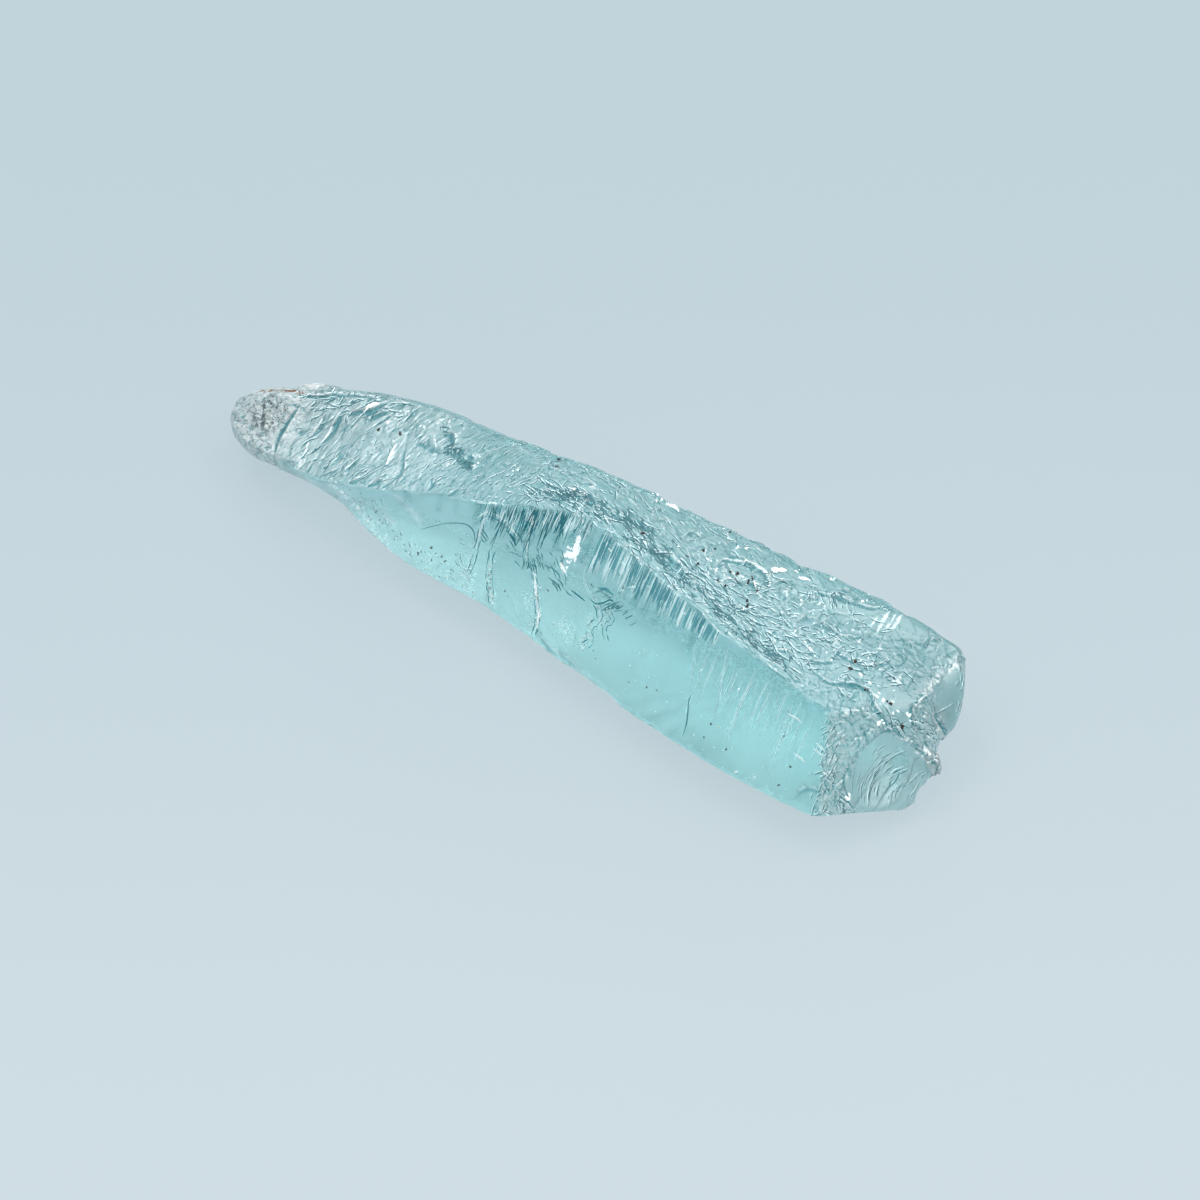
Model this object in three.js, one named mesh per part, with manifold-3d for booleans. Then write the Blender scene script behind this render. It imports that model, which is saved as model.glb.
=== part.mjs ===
// A rough aquamarine crystal: one natural piece of beryl, lying on a flat prism face.
// Millimetres, +Z up. +X runs along the crystal, from its narrow weathered tip to its broken butt end.
// The origin is under the middle of the crystal's box, on the surface that it rests on.
import * as THREE from "three";
import { mergeVertices } from "three/addons/utils/BufferGeometryUtils.js";
import Module from "manifold-3d";

const wasm = await Module();
wasm.setup();

// ---- Driving dimensions -------------------------------------------------------------------------
const TIP_ROUND_START = -30.2; // where the tip begins to round off
const TIP_ROUND_LENGTH = 4.5; // from there to the end of the tip
const TIP_BLUNTNESS = 0.78; // power of the tip's profile: 1 is an ellipse and less is blunter
const TIP_CENTRE = { y: 1.9, z: 3.7 }; // the tip rounds towards this line
const BUTT_X = 30.5; // the prism runs past its broken end, which is cut afterwards
const STATION_STEP = 1.25; // spacing of the cross-sections along the crystal
const TIP_RINGS = 7; // cross-sections on the rounded tip
const FACE_STRIPS = 4; // strips across each face of the prism
const SCOOP_SEGMENTS = 36; // segments around a shell-shaped break
const SCOOP_ROUNDNESS = 4; // half height of a scoop's ellipsoid, in depths of the break
const CUTTER_SIDE = 60; // side of the block that makes a flat break

// The edges of the prism, in order around it. Each is a line of [x, y, z] corners along the crystal.
const FRONT_LOW = [
  [-34, -0.9, 2.0], [-28.8, -1.1, 2.7], [-25.6, -1.2, 3.1], [-22.7, -1.4, 3.0], [-19.1, -2.7, 3.0],
  [-15.8, -3.5, 3.0], [-12.0, -3.7, 3.0], [-8.4, -3.7, 3.0], [-3.4, -4.4, 3.0], [0.6, -5.2, 3.0],
  [5.6, -6.1, 3.0], [11.2, -6.7, 3.0], [15.7, -7.0, 3.0], [19.9, -7.0, 3.0], [31, -7.0, 3.0],
];
const RIDGE = [
  [-34, -0.9, 3.6], [-29.0, -1.4, 4.4], [-25.2, -1.9, 5.0], [-21.4, -2.2, 7.0], [-17.8, -1.6, 8.4],
  [-14.2, -0.6, 9.4], [-11.2, -0.1, 10.3], [-6.4, 1.3, 11.2], [-2.8, 2.4, 11.8], [-0.3, 1.8, 11.7],
  [5.8, 0.4, 11.3], [11.2, -0.9, 11.0], [17.7, -1.8, 10.4], [20.9, -2.1, 10.1], [31, -2.6, 9.6],
];
const TOP_BEVEL = [
  [-34, 2.3, 5.6], [-30.0, 3.0, 6.8], [-26.3, 5.0, 7.5], [-23.7, 5.4, 8.2], [-21.2, 6.0, 8.8],
  [-17.7, 6.0, 9.6], [-11.0, 5.2, 10.7], [-5.8, 4.6, 11.4], [-3.0, 4.6, 11.5], [2.6, 5.3, 11.2],
  [8.0, 5.4, 10.9], [12.1, 5.8, 10.6], [18.2, 7.1, 10.2], [22.0, 8.4, 9.6], [31, 8.9, 8.6],
];
const BACK_TOP = [
  [-34, 4.4, 4.4], [-31.4, 4.9, 5.0], [-28.4, 5.9, 6.0], [-22.7, 7.2, 7.5], [-17.1, 7.3, 9.0],
  [-11.5, 7.0, 9.8], [-6.5, 7.5, 10.2], [-1.4, 7.8, 10.4], [3.8, 8.0, 10.4], [8.9, 8.2, 10.3],
  [12.6, 8.2, 10.0], [14.4, 9.0, 9.8], [17.6, 8.9, 9.5], [20.1, 9.2, 9.0], [23.9, 9.2, 8.5],
  [31, 9.4, 7.6],
];
const BACK_WIDEST = [
  [-34, 4.7, 3.0], [-28.0, 6.4, 3.4], [-22.0, 7.9, 3.9], [-12.0, 8.5, 4.6], [0.0, 9.2, 5.0],
  [12.0, 9.7, 5.0], [22.0, 10.2, 4.8], [31, 10.2, 4.6],
];
const BACK_FOOT = [
  [-34, 3.8, 0], [-28.0, 4.6, 0], [-22.0, 6.0, 0], [-12.0, 6.6, 0], [0.0, 7.4, 0],
  [12.0, 7.9, 0], [22.0, 8.3, 0], [31, 8.3, 0],
];
const FRONT_FOOT = [
  [-34, 0.6, 0], [-28.0, 0.7, 0], [-22.0, 0.6, 0], [-15.8, -0.9, 0], [-8.4, -1.1, 0],
  [0.6, -2.6, 0], [11.2, -4.1, 0], [19.9, -4.4, 0], [31, -4.2, 0],
];
const EDGES = [FRONT_LOW, RIDGE, TOP_BEVEL, BACK_TOP, BACK_WIDEST, BACK_FOOT, FRONT_FOOT];

// Flat breaks at the butt end: a point on each, and the way it faces.
const FLAT_BREAKS = [
  { at: [21.1, -2.0, 10.0], faces: [0.708, -0.471, 0.525] }, // the broad slanting break towards the front
  { at: [28.7, 1.9, 3.0], faces: [0.912, 0, 0.41] }, // the end
  { at: [20.6, 3.0, 10.1], faces: [0.36, -0.02, 0.93] }, // the slope from the top down to the end
  { at: [26.6, 9.3, 6.0], faces: [0.72, 0.68, 0.12] }, // the back corner
  { at: [28.7, 1.8, 3.0], faces: [0.874, 0.409, -0.263] }, // under the back corner
  { at: [28.5, -0.3, 3.0], faces: [0.868, 0.012, -0.496] }, // under the end
  { at: [26.0, -4.2, 2.5], faces: [0.384, -0.615, -0.689] }, // under the front corner
];

// Shell-shaped breaks: the middle of each on the surface, the way the surface faces, the way the break
// runs along it, and the break's length, width and depth.
const SHELL_BREAKS = [
  // the big scar on the slanting break
  { at: [25.2, -1.8, 4.6], faces: [0.708, -0.471, 0.525], along: [-0.25, 0.52, 0.81], size: [6.6, 5.0, 0.9] },
  // the hollow in the end, and the groove below it
  { at: [27.0, 4.0, 6.8], faces: [0.912, 0, 0.41], along: [0.27, -0.73, -0.62], size: [5.2, 2.5, 0.8] },
  { at: [28.1, 2.2, 4.6], faces: [0.874, 0.409, -0.263], along: [0.3, -0.49, 0.82], size: [6.4, 1.7, 1.0] },
  // a chip on the front lower edge, and a long sliver gone from it
  { at: [21.5, -7.0, 3.2], faces: [0, -0.98, -0.2], along: [1, 0, 0], size: [3.0, 1.3, 0.35] },
  { at: [1.3, -5.4, 3.0], faces: [0, -0.8, -0.6], along: [1, -0.15, 0], size: [6.0, 1.5, 0.4] },
  // a nick in the top back edge
  { at: [12.4, 8.2, 10.1], faces: [0, 0.5, 0.87], along: [0.3, 1, 0], size: [2.5, 1.6, 0.4] },
  // breaks along the back
  { at: [-14.0, 7.9, 7.0], faces: [0, 0.96, 0.28], along: [1, 0.05, 0], size: [10.0, 4.2, 0.7] },
  { at: [4.5, 8.8, 7.7], faces: [0, 0.96, 0.28], along: [1, 0.05, -0.1], size: [12.0, 4.6, 0.8] },
  { at: [19.5, 9.6, 2.4], faces: [0.05, 0.95, -0.31], along: [1, 0, 0.1], size: [9.0, 3.8, 0.8] },
  { at: [-5.0, 8.2, 2.3], faces: [0, 0.95, -0.31], along: [1, 0.06, 0], size: [10.0, 3.6, 0.7] },
];

// ---- Helpers ------------------------------------------------------------------------------------
/** The mean of some numbers. */
function mean(numbers) {
  return numbers.reduce((sum, number) => sum + number, 0) / numbers.length;
}

/** Where an edge line is at a given x, as [y, z]. */
function edgeAt(edge, x) {
  const next = Math.max(1, edge.findIndex((corner) => corner[0] >= x));
  const [a, b] = [edge[next - 1], edge[next]];
  const share = THREE.MathUtils.clamp((x - a[0]) / (b[0] - a[0]), 0, 1);
  return [1, 2].map((axis) => THREE.MathUtils.lerp(a[axis], b[axis], share));
}

/** A closed geometry as a solid that can be joined or cut. */
function solidFrom(geometry) {
  const bare = geometry.clone();
  bare.deleteAttribute("normal");
  bare.deleteAttribute("uv");
  const merged = mergeVertices(bare, 1e-5);
  return new wasm.Manifold(
    new wasm.Mesh({
      numProp: 3,
      vertProperties: new Float32Array(merged.attributes.position.array),
      triVerts: new Uint32Array(merged.index.array),
    }),
  );
}

/** A solid as a geometry. */
function geometryFrom(solid) {
  const { vertProperties, triVerts, numProp, numVert } = solid.getMesh();
  const points = new Float32Array(numVert * 3);
  for (let i = 0; i < numVert; i++) points.set(vertProperties.subarray(i * numProp, i * numProp + 3), i * 3);
  const geometry = new THREE.BufferGeometry();
  geometry.setAttribute("position", new THREE.BufferAttribute(points, 3));
  geometry.setIndex(new THREE.BufferAttribute(triVerts, 1));
  geometry.computeVertexNormals();
  return geometry;
}

// ---- The prism ----------------------------------------------------------------------------------
/** The cross-section at x: points around the crystal, FACE_STRIPS to each face. */
function crossSection(x, shrink = 1) {
  const corners = EDGES.map((edge) => edgeAt(edge, x));
  const ring = [];
  corners.forEach(([y, z], i) => {
    const [nextY, nextZ] = corners[(i + 1) % corners.length];
    for (let strip = 0; strip < FACE_STRIPS; strip++) {
      const share = strip / FACE_STRIPS;
      ring.push([THREE.MathUtils.lerp(y, nextY, share), THREE.MathUtils.lerp(z, nextZ, share)]);
    }
  });
  return ring.map(([y, z]) => [
    x,
    THREE.MathUtils.lerp(TIP_CENTRE.y, y, shrink),
    THREE.MathUtils.lerp(TIP_CENTRE.z, z, shrink),
  ]);
}

/** The long tapering prism with its rounded tip, still whole at the butt end. */
function prism() {
  const rings = [];
  for (let i = 1; i <= TIP_RINGS; i++) {
    const angle = (i / TIP_RINGS) * (Math.PI / 2);
    const x = TIP_ROUND_START - TIP_ROUND_LENGTH * Math.cos(angle);
    rings.push(crossSection(x, Math.sin(angle) ** TIP_BLUNTNESS));
  }
  const stations = Math.round((BUTT_X - TIP_ROUND_START) / STATION_STEP);
  for (let i = 1; i <= stations; i++) {
    rings.push(crossSection(THREE.MathUtils.lerp(TIP_ROUND_START, BUTT_X, i / stations)));
  }
  const around = rings[0].length;
  const tipPoint = [TIP_ROUND_START - TIP_ROUND_LENGTH, TIP_CENTRE.y, TIP_CENTRE.z];
  const buttPoint = rings.at(-1)[0].map((_, axis) => mean(rings.at(-1).map((point) => point[axis])));
  const points = [...rings.flat(), tipPoint, buttPoint];
  const [tip, butt] = [points.length - 2, points.length - 1];
  const faces = [];
  for (let j = 0; j < around; j++) {
    const k = (j + 1) % around;
    faces.push(tip, j, k);
    for (let i = 0; i < rings.length - 1; i++) {
      const [a, b, c, d] = [i * around + j, i * around + k, (i + 1) * around + j, (i + 1) * around + k];
      faces.push(a, c, b, b, c, d);
    }
    const last = (rings.length - 1) * around;
    faces.push(butt, last + k, last + j);
  }
  const geometry = new THREE.BufferGeometry();
  geometry.setAttribute("position", new THREE.Float32BufferAttribute(points.flat(), 3));
  geometry.setIndex(faces);
  return solidFrom(geometry);
}

// ---- The breaks ---------------------------------------------------------------------------------
/** A block whose one face lies on the break and which takes away all that is beyond it. */
function flatBreak({ at, faces }) {
  const way = new THREE.Vector3(...faces).normalize();
  const block = new THREE.BoxGeometry(CUTTER_SIDE, CUTTER_SIDE, CUTTER_SIDE);
  block.applyQuaternion(new THREE.Quaternion().setFromUnitVectors(new THREE.Vector3(0, 0, 1), way));
  const middle = new THREE.Vector3(...at).addScaledVector(way, CUTTER_SIDE / 2);
  return solidFrom(block.translate(middle.x, middle.y, middle.z));
}

/** An ellipsoid that scoops out a shell-shaped break, as long, wide and deep as it says on a flat surface. */
function shellBreak({ at, faces, along, size: [length, width, depth] }) {
  const out = new THREE.Vector3(...faces).normalize();
  const side = new THREE.Vector3(...along).cross(out).negate().normalize();
  const way = side.clone().cross(out);
  const spread = Math.sqrt(1 - ((SCOOP_ROUNDNESS - 1) / SCOOP_ROUNDNESS) ** 2);
  const halfHeight = SCOOP_ROUNDNESS * depth;
  const ball = new THREE.SphereGeometry(1, SCOOP_SEGMENTS, SCOOP_SEGMENTS / 2);
  ball.scale(length / 2 / spread, width / 2 / spread, halfHeight);
  ball.applyMatrix4(new THREE.Matrix4().makeBasis(way, side, out));
  const middle = new THREE.Vector3(...at).addScaledVector(out, halfHeight - depth);
  return solidFrom(ball.translate(middle.x, middle.y, middle.z));
}

// ---- The crystal --------------------------------------------------------------------------------
const cuts = [...FLAT_BREAKS.map(flatBreak), ...SHELL_BREAKS.map(shellBreak)];
const broken = cuts.reduce((solid, cut) => solid.subtract(cut), prism());
const geometry = geometryFrom(broken);
geometry.computeBoundingBox();
const box = geometry.boundingBox;
geometry.translate(-(box.min.x + box.max.x) / 2, -(box.min.y + box.max.y) / 2, -box.min.z);

const crystal = new THREE.Mesh(
  geometry,
  new THREE.MeshStandardMaterial({ color: 0x9dc8cc, roughness: 0.25, metalness: 0 }),
);
crystal.name = "aquamarine_crystal";

const part = new THREE.Group();
part.add(crystal);
export default part;
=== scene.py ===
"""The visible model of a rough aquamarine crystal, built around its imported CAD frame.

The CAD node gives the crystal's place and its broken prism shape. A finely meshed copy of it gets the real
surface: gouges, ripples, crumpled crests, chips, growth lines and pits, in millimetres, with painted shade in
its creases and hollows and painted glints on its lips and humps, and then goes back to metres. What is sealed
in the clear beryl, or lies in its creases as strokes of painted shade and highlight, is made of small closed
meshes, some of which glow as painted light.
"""

from __future__ import annotations

import logging
import math
from dataclasses import dataclass, replace
from enum import Enum
from typing import Any, Iterable, Optional, Sequence, Union

import bmesh
import bpy
import numpy as np
from mathutils import Matrix, Vector
from mathutils.bvhtree import BVHTree

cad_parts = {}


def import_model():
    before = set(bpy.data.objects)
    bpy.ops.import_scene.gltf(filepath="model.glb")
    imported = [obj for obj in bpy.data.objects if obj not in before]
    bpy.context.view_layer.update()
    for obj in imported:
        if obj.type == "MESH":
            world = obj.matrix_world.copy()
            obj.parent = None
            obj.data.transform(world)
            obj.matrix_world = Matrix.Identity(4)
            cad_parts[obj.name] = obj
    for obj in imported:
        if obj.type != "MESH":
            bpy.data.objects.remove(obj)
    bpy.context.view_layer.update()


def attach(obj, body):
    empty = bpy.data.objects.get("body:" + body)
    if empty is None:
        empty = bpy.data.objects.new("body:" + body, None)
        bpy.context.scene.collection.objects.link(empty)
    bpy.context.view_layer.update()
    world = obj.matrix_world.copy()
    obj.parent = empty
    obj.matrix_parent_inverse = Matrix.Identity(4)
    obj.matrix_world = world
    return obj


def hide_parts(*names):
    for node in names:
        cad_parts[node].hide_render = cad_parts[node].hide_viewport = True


LOG = logging.getLogger("aquamarine")

NODE = "aquamarine_crystal"
BODY = "root"
METRES_PER_MM = 0.001


# ---- Node trees ---------------------------------------------------------------------------------
Operand = Union["Signal", int, float]


class Signal:
    """An output socket that Python's arithmetic operators work on."""

    def __init__(self, graph: "Graph", socket: bpy.types.NodeSocket) -> None:
        """Wraps an output socket of a node in a graph."""
        self.graph = graph
        self.socket = socket

    def _math(self, operation: str, first: Operand, second: Operand) -> "Signal":
        """Adds the node for an operation on two operands.

        Args:
            operation: The operation's name, the same for a Math and a Vector Math node.
            first: The first operand.
            second: The second operand.

        Returns:
            The node's output.
        """
        if self.socket.type == "VECTOR":
            return self.graph.node("ShaderNodeVectorMath", {"operation": operation}, {0: first, 1: second})
        return self.graph.node("ShaderNodeMath", {"operation": operation}, {0: first, 1: second})

    def __add__(self, other: Operand) -> "Signal":
        """Adds."""
        return self._math("ADD", self, other)

    def __sub__(self, other: Operand) -> "Signal":
        """Takes away."""
        return self._math("SUBTRACT", self, other)

    def __rsub__(self, other: Operand) -> "Signal":
        """Takes this away from a number."""
        return self._math("SUBTRACT", other, self)

    def __mul__(self, other: Operand) -> "Signal":
        """Multiplies."""
        return self._math("MULTIPLY", self, other)

    def dot(self, way: Union["Signal", Sequence[float]]) -> "Signal":
        """Returns the length of this vector along a way."""
        settings = {"operation": "DOT_PRODUCT"}
        return self.graph.node("ShaderNodeVectorMath", settings, {0: self, 1: way}, output="Value")

    def ramp(self, low: float, high: float) -> "Signal":
        """Returns 0 on the low value's side, 1 on the high one's, and a smooth change between."""
        inputs = {0: self, 1: min(low, high), 2: max(low, high)}
        node = self.graph.node("ShaderNodeMapRange", {"interpolation_type": "SMOOTHSTEP"}, inputs)
        return node if low < high else 1.0 - node

    def one(self, operation: str, other: Operand = 0.0) -> "Signal":
        """Applies a Math node's operation by name."""
        return self.graph.node("ShaderNodeMath", {"operation": operation}, {0: self, 1: other})

    def tint(self, near: "Signal | Sequence[float]", far: "Signal | Sequence[float]") -> "Signal":
        """Returns a colour from near to far by this share, held between 0 and 1."""
        settings = {"data_type": "RGBA", "clamp_factor": True}
        return self.graph.node("ShaderNodeMix", settings, {0: self, 6: near, 7: far}, output=2)


class Graph:
    """A node tree that is filled by calls."""

    def __init__(self, tree: bpy.types.NodeTree) -> None:
        """Wraps a tree."""
        self.tree = tree

    def node(
        self,
        kind: str,
        settings: Optional[dict[str, Any]] = None,
        inputs: Optional[dict[Union[str, int], Any]] = None,
        output: Union[str, int] = 0,
    ) -> Signal:
        """Adds a node.

        Args:
            kind: The node's type.
            settings: Its properties, which are set before its sockets.
            inputs: Values or signals for its input sockets, by name or index.
            output: The output socket to return.

        Returns:
            The chosen output.
        """
        node = self.tree.nodes.new(kind)
        for name, value in (settings or {}).items():
            setattr(node, name, value)
        for key, value in (inputs or {}).items():
            self.feed(node.inputs[key], value)
        return Signal(self, node.outputs[output])

    def attribute(self, name: str, vector: bool = False) -> Signal:
        """Returns an attribute of the surface, which is one number unless a vector is asked for."""
        if self.tree.type == "GEOMETRY":
            settings, inputs = {"data_type": "FLOAT"}, {"Name": name}
            return self.node("GeometryNodeInputNamedAttribute", settings, inputs, "Attribute")
        settings = {"attribute_name": name}
        return self.node("ShaderNodeAttribute", settings, output="Vector" if vector else "Fac")

    def feed(self, socket: bpy.types.NodeSocket, value: Any) -> None:
        """Links a signal to an input socket, or sets the socket's value."""
        if isinstance(value, Signal):
            self.tree.links.new(value.socket, socket)
        elif isinstance(value, (tuple, list)):
            socket.default_value = tuple(value) + (1.0,) * (len(socket.default_value) - len(value))
        elif socket.type == "VECTOR":
            socket.default_value = (value, value, value)
        else:
            socket.default_value = value


# ---- Regions of the surface ---------------------------------------------------------------------
Shares = dict[str, np.ndarray]


def smooth_step(value: np.ndarray, low: float, high: float) -> np.ndarray:
    """Returns 0 below the low value, 1 above the high one, and a smooth rise between."""
    share = np.clip((value - low) / (high - low), 0.0, 1.0)
    return share * share * (3.0 - 2.0 * share)


class Surface:
    """The points of a mesh in millimetres with the ways that they face."""

    def __init__(self, mesh: bpy.types.Mesh) -> None:
        """Reads a mesh's points and normals."""
        self.mesh = mesh
        count = len(mesh.vertices)
        flat = np.empty(count * 3, dtype=np.float32)
        mesh.vertices.foreach_get("co", flat)
        self.points = flat.reshape(count, 3).astype(np.float64)
        mesh.vertex_normals.foreach_get("vector", flat)
        self.normals = flat.reshape(count, 3).astype(np.float64)

    def write(self) -> None:
        """Puts the points back in the mesh."""
        self.mesh.vertices.foreach_set("co", self.points.astype(np.float32).ravel())
        self.mesh.update()

    def read(self, name: str) -> np.ndarray:
        """Returns an attribute of one number for each point."""
        values = np.empty(len(self.points), dtype=np.float32)
        self.mesh.attributes[name].data.foreach_get("value", values)
        return values.astype(np.float64)

    def store(self, name: str, values: np.ndarray) -> None:
        """Keeps one number for each point as an attribute."""
        attribute = self.mesh.attributes.get(name) or self.mesh.attributes.new(name, "FLOAT", "POINT")
        attribute.data.foreach_set("value", values.astype(np.float32))

    def store_vector(self, name: str, values: np.ndarray) -> None:
        """Keeps a vector for each point as an attribute."""
        attribute = self.mesh.attributes.new(name, "FLOAT_VECTOR", "POINT")
        attribute.data.foreach_set("vector", values.astype(np.float32).ravel())


def relax(mesh: bpy.types.Mesh, values: np.ndarray, rounds: int) -> np.ndarray:
    """Averages values with those of neighbouring points.

    Args:
        mesh: The mesh whose edges join the points.
        values: One row for each point.
        rounds: How many times to average.

    Returns:
        The averaged values.
    """
    edges = np.empty(len(mesh.edges) * 2, dtype=np.int32)
    mesh.edges.foreach_get("vertices", edges)
    ends = edges.reshape(-1, 2)
    count = np.bincount(ends.ravel(), minlength=len(values)).astype(np.float64)
    smooth = values.copy()
    for _ in range(rounds):
        total = np.stack(
            [
                np.bincount(ends[:, 0], smooth[ends[:, 1], axis], len(values))
                + np.bincount(ends[:, 1], smooth[ends[:, 0], axis], len(values))
                for axis in range(values.shape[1])
            ],
            axis=1,
        )
        smooth = 0.5 * smooth + 0.5 * total / np.maximum(count, 1.0)[:, None]
    return smooth


# Lines along the crystal: the height and the y, at each x, of the ridge between the clean front face and the
# broken top, and the y past which the top slopes down to the back.
RIDGE_HEIGHT = (
    (-26.0, 4.4), (-18.4, 7.0), (-11.2, 9.4), (-3.4, 11.2), (0.3, 11.8), (8.9, 11.3), (24.0, 10.0),
)
RIDGE_LINE = (
    (-26.0, -3.0), (-18.4, -3.8), (-11.2, -2.2), (-3.4, -0.3), (0.3, 0.8), (8.9, -1.2), (24.0, -3.7),
)
BEVEL_LINE = ((-22.0, 3.6), (-8.0, 3.4), (0.0, 2.6), (6.0, 3.7), (15.0, 4.2), (24.0, 7.0))


def line_at(line: Sequence[tuple[float, float]], x: np.ndarray) -> np.ndarray:
    """Returns a line's height at each x."""
    return np.interp(x, [point[0] for point in line], [point[1] for point in line])


def regions(surface: Surface) -> Shares:
    """Works out how much each point belongs to each kind of surface.

    Args:
        surface: The crystal's surface before its relief.

    Returns:
        A share from 0 to 1 for each point, by the region's name.
    """
    facing = relax(surface.mesh, surface.normals, 3)
    facing /= np.linalg.norm(facing, axis=1)[:, None]
    x, y, z = surface.points.T
    tip = smooth_step(-x, 24.6, 26.0)
    end = smooth_step(facing[:, 0], 0.35, 0.6) * smooth_step(x, 15.0, 20.0)
    base = smooth_step(-facing[:, 2], 0.5, 0.8)
    front = smooth_step(-facing[:, 1], 0.45, 0.62) * (1 - end) * (1 - tip) * (1 - base)
    back = smooth_step(facing[:, 1], 0.5, 0.75) * (1 - end) * (1 - tip) * (1 - base)
    leaning_back = smooth_step(facing[:, 1], 0.3, 0.55)
    top = np.clip(1 - front - back - base - end - tip, 0, 1) * (1 - 0.7 * leaning_back)
    past_ridge = y - line_at(RIDGE_LINE, x)
    past_bevel = y - line_at(BEVEL_LINE, x)
    below_ridge = line_at(RIDGE_HEIGHT, x) - z
    bevel = top * smooth_step(past_bevel, -0.3, 0.6) * smooth_step(x, -9.0, -1.0)
    rough = top - bevel
    along_ridge = smooth_step(x, -6.0, 0.0) * (1 - smooth_step(x, 19.0, 23.0))
    crest = rough * along_ridge * (1 - smooth_step(past_ridge, 2.6, 4.6))
    gouge = rough * (1 - smooth_step(x, -14.5, -10.0))
    ripple = rough * smooth_step(x, -14.5, -10.0) * (1 - smooth_step(x, -4.0, 1.0)) * (1 - crest)
    comb = smooth_step(x, -6.5, -4.5) * (1 - smooth_step(x, 0.6, 2.4)) * smooth_step(-below_ridge, -3.0, -0.8)
    bars = smooth_step(x, 1.6, 2.6) * (1 - smooth_step(x, 12.5, 14.0)) * smooth_step(-below_ridge, -3.4, -2.0)
    haze = np.maximum(smooth_step(-x, 5.0, 12.0), smooth_step(-z, -2.6, -1.0) * 0.6)
    return {
        "tip": tip, "end": end, "front": front, "base": base, "back": back, "bevel": bevel, "crest": crest,
        "gouge": gouge, "ripple": ripple, "chip": np.clip(rough - crest - gouge - ripple, 0, 1),
        "comb": front * comb, "bars": front * bars, "score": back * 0.55, "haze": front * haze,
    }


# ---- Patterns that the relief and the finish share -----------------------------------------------
HALF = (0.5, 0.5, 0.5)


class Patterns:
    """Patterns of places in millimetres, for a Geometry Nodes tree or a material."""

    def __init__(self, graph: Graph) -> None:
        """Works in a graph."""
        self.graph = graph

    def vector(self, operation: str, first: Any, second: Any) -> Signal:
        """Applies a Vector Math node's operation by name."""
        return self.graph.node("ShaderNodeVectorMath", {"operation": operation}, {0: first, 1: second})

    def turned(self, place: Signal, along: float, length: float, width: float) -> Signal:
        """Turns and squeezes places, so that a cell of size 1 is long one way and narrow the other.

        Args:
            place: The places.
            along: The long way, in degrees from +X towards +Y.
            length: A cell's length in millimetres.
            width: A cell's width in millimetres.

        Returns:
            The squeezed places.
        """
        cos, sin = math.cos(math.radians(along)), math.sin(math.radians(along))
        across = (place.dot((cos / length, sin / length, 0.0)), place.dot((-sin / width, cos / width, 0.0)))
        inputs = {0: across[0], 1: across[1], 2: place.dot((0, 0, 0.3))}
        return self.graph.node("ShaderNodeCombineXYZ", inputs=inputs)

    def noise(self, place: Signal, size: float, detail: float = 2.0) -> Signal:
        """Returns smooth noise of about -0.5 to 0.5 with lumps of a size."""
        inputs = {"Vector": place, "Scale": 1.0 / size, "Detail": detail, "Roughness": 0.55}
        return self.graph.node("ShaderNodeTexNoise", inputs=inputs) - 0.5

    def warp(self, place: Signal, size: float, amount: float) -> Signal:
        """Bends places by noise."""
        inputs = {"Vector": place, "Scale": 1.0 / size, "Detail": 1.5}
        colour = self.graph.node("ShaderNodeTexNoise", inputs=inputs, output="Color")
        return place + self.vector("MULTIPLY", self.vector("SUBTRACT", colour, HALF), (2.0 * amount,) * 3)

    def scallops(self, place: Signal, steps: float, seed: float) -> Signal:
        """Returns where a place lies on a slope that rises from 0 to STEEP_FROM and falls steeply to 1.

        Args:
            place: Places in which a hollow is about 1 wide.
            steps: How many slopes lie between the noise's lowest and highest.
            seed: Moves the pattern.

        Returns:
            The share of the way over the slope and its steep side.
        """
        moved = self.vector("ADD", place, (seed, seed, seed))
        return (self.noise(moved, 1.0, 1.6) * steps).one("FRACT")

    def facets(self, place: Signal, seed: float) -> Signal:
        """Returns the height of flat chips about 1 wide, each leaning its own way, of about -0.5 to 0.5."""
        moved = self.vector("ADD", place, (seed, seed, seed))
        inputs = {"Vector": moved, "Scale": 1.0}
        cell = self.graph.node("ShaderNodeTexVoronoi", {"feature": "F1"}, inputs, "Color")
        centre = Signal(self.graph, cell.socket.node.outputs["Position"])
        lean = self.vector("SUBTRACT", cell, HALF)
        level = self.graph.node("ShaderNodeSeparateXYZ", inputs={0: lean})
        return (moved - centre).dot(lean) * 1.6 + level * 0.35

    def bars(self, place: Signal, width: float, seed: float) -> Signal:
        """Returns a number of -0.5 to 0.5 for each growth bar that runs up the front face."""
        across = place.dot((1.0 / width, 0.0, -0.08 / width)) + seed
        kind, settings = "ShaderNodeTexVoronoi", {"feature": "F1", "voronoi_dimensions": "1D"}
        cell = self.graph.node(kind, settings, {"W": across, "Scale": 1.0}, output="Color")
        return self.graph.node("ShaderNodeSeparateXYZ", inputs={0: cell}) - 0.5


# The share of a hollow's slope that rises gently, and where its steep side and the lip before it fade in
# and out.
STEEP_FROM = 0.85
STEEP_SIDE = (0.84, 0.93)
LIP_RISE = (0.68, 0.80)
LIP_FALL = (0.88, 0.84)


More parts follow.
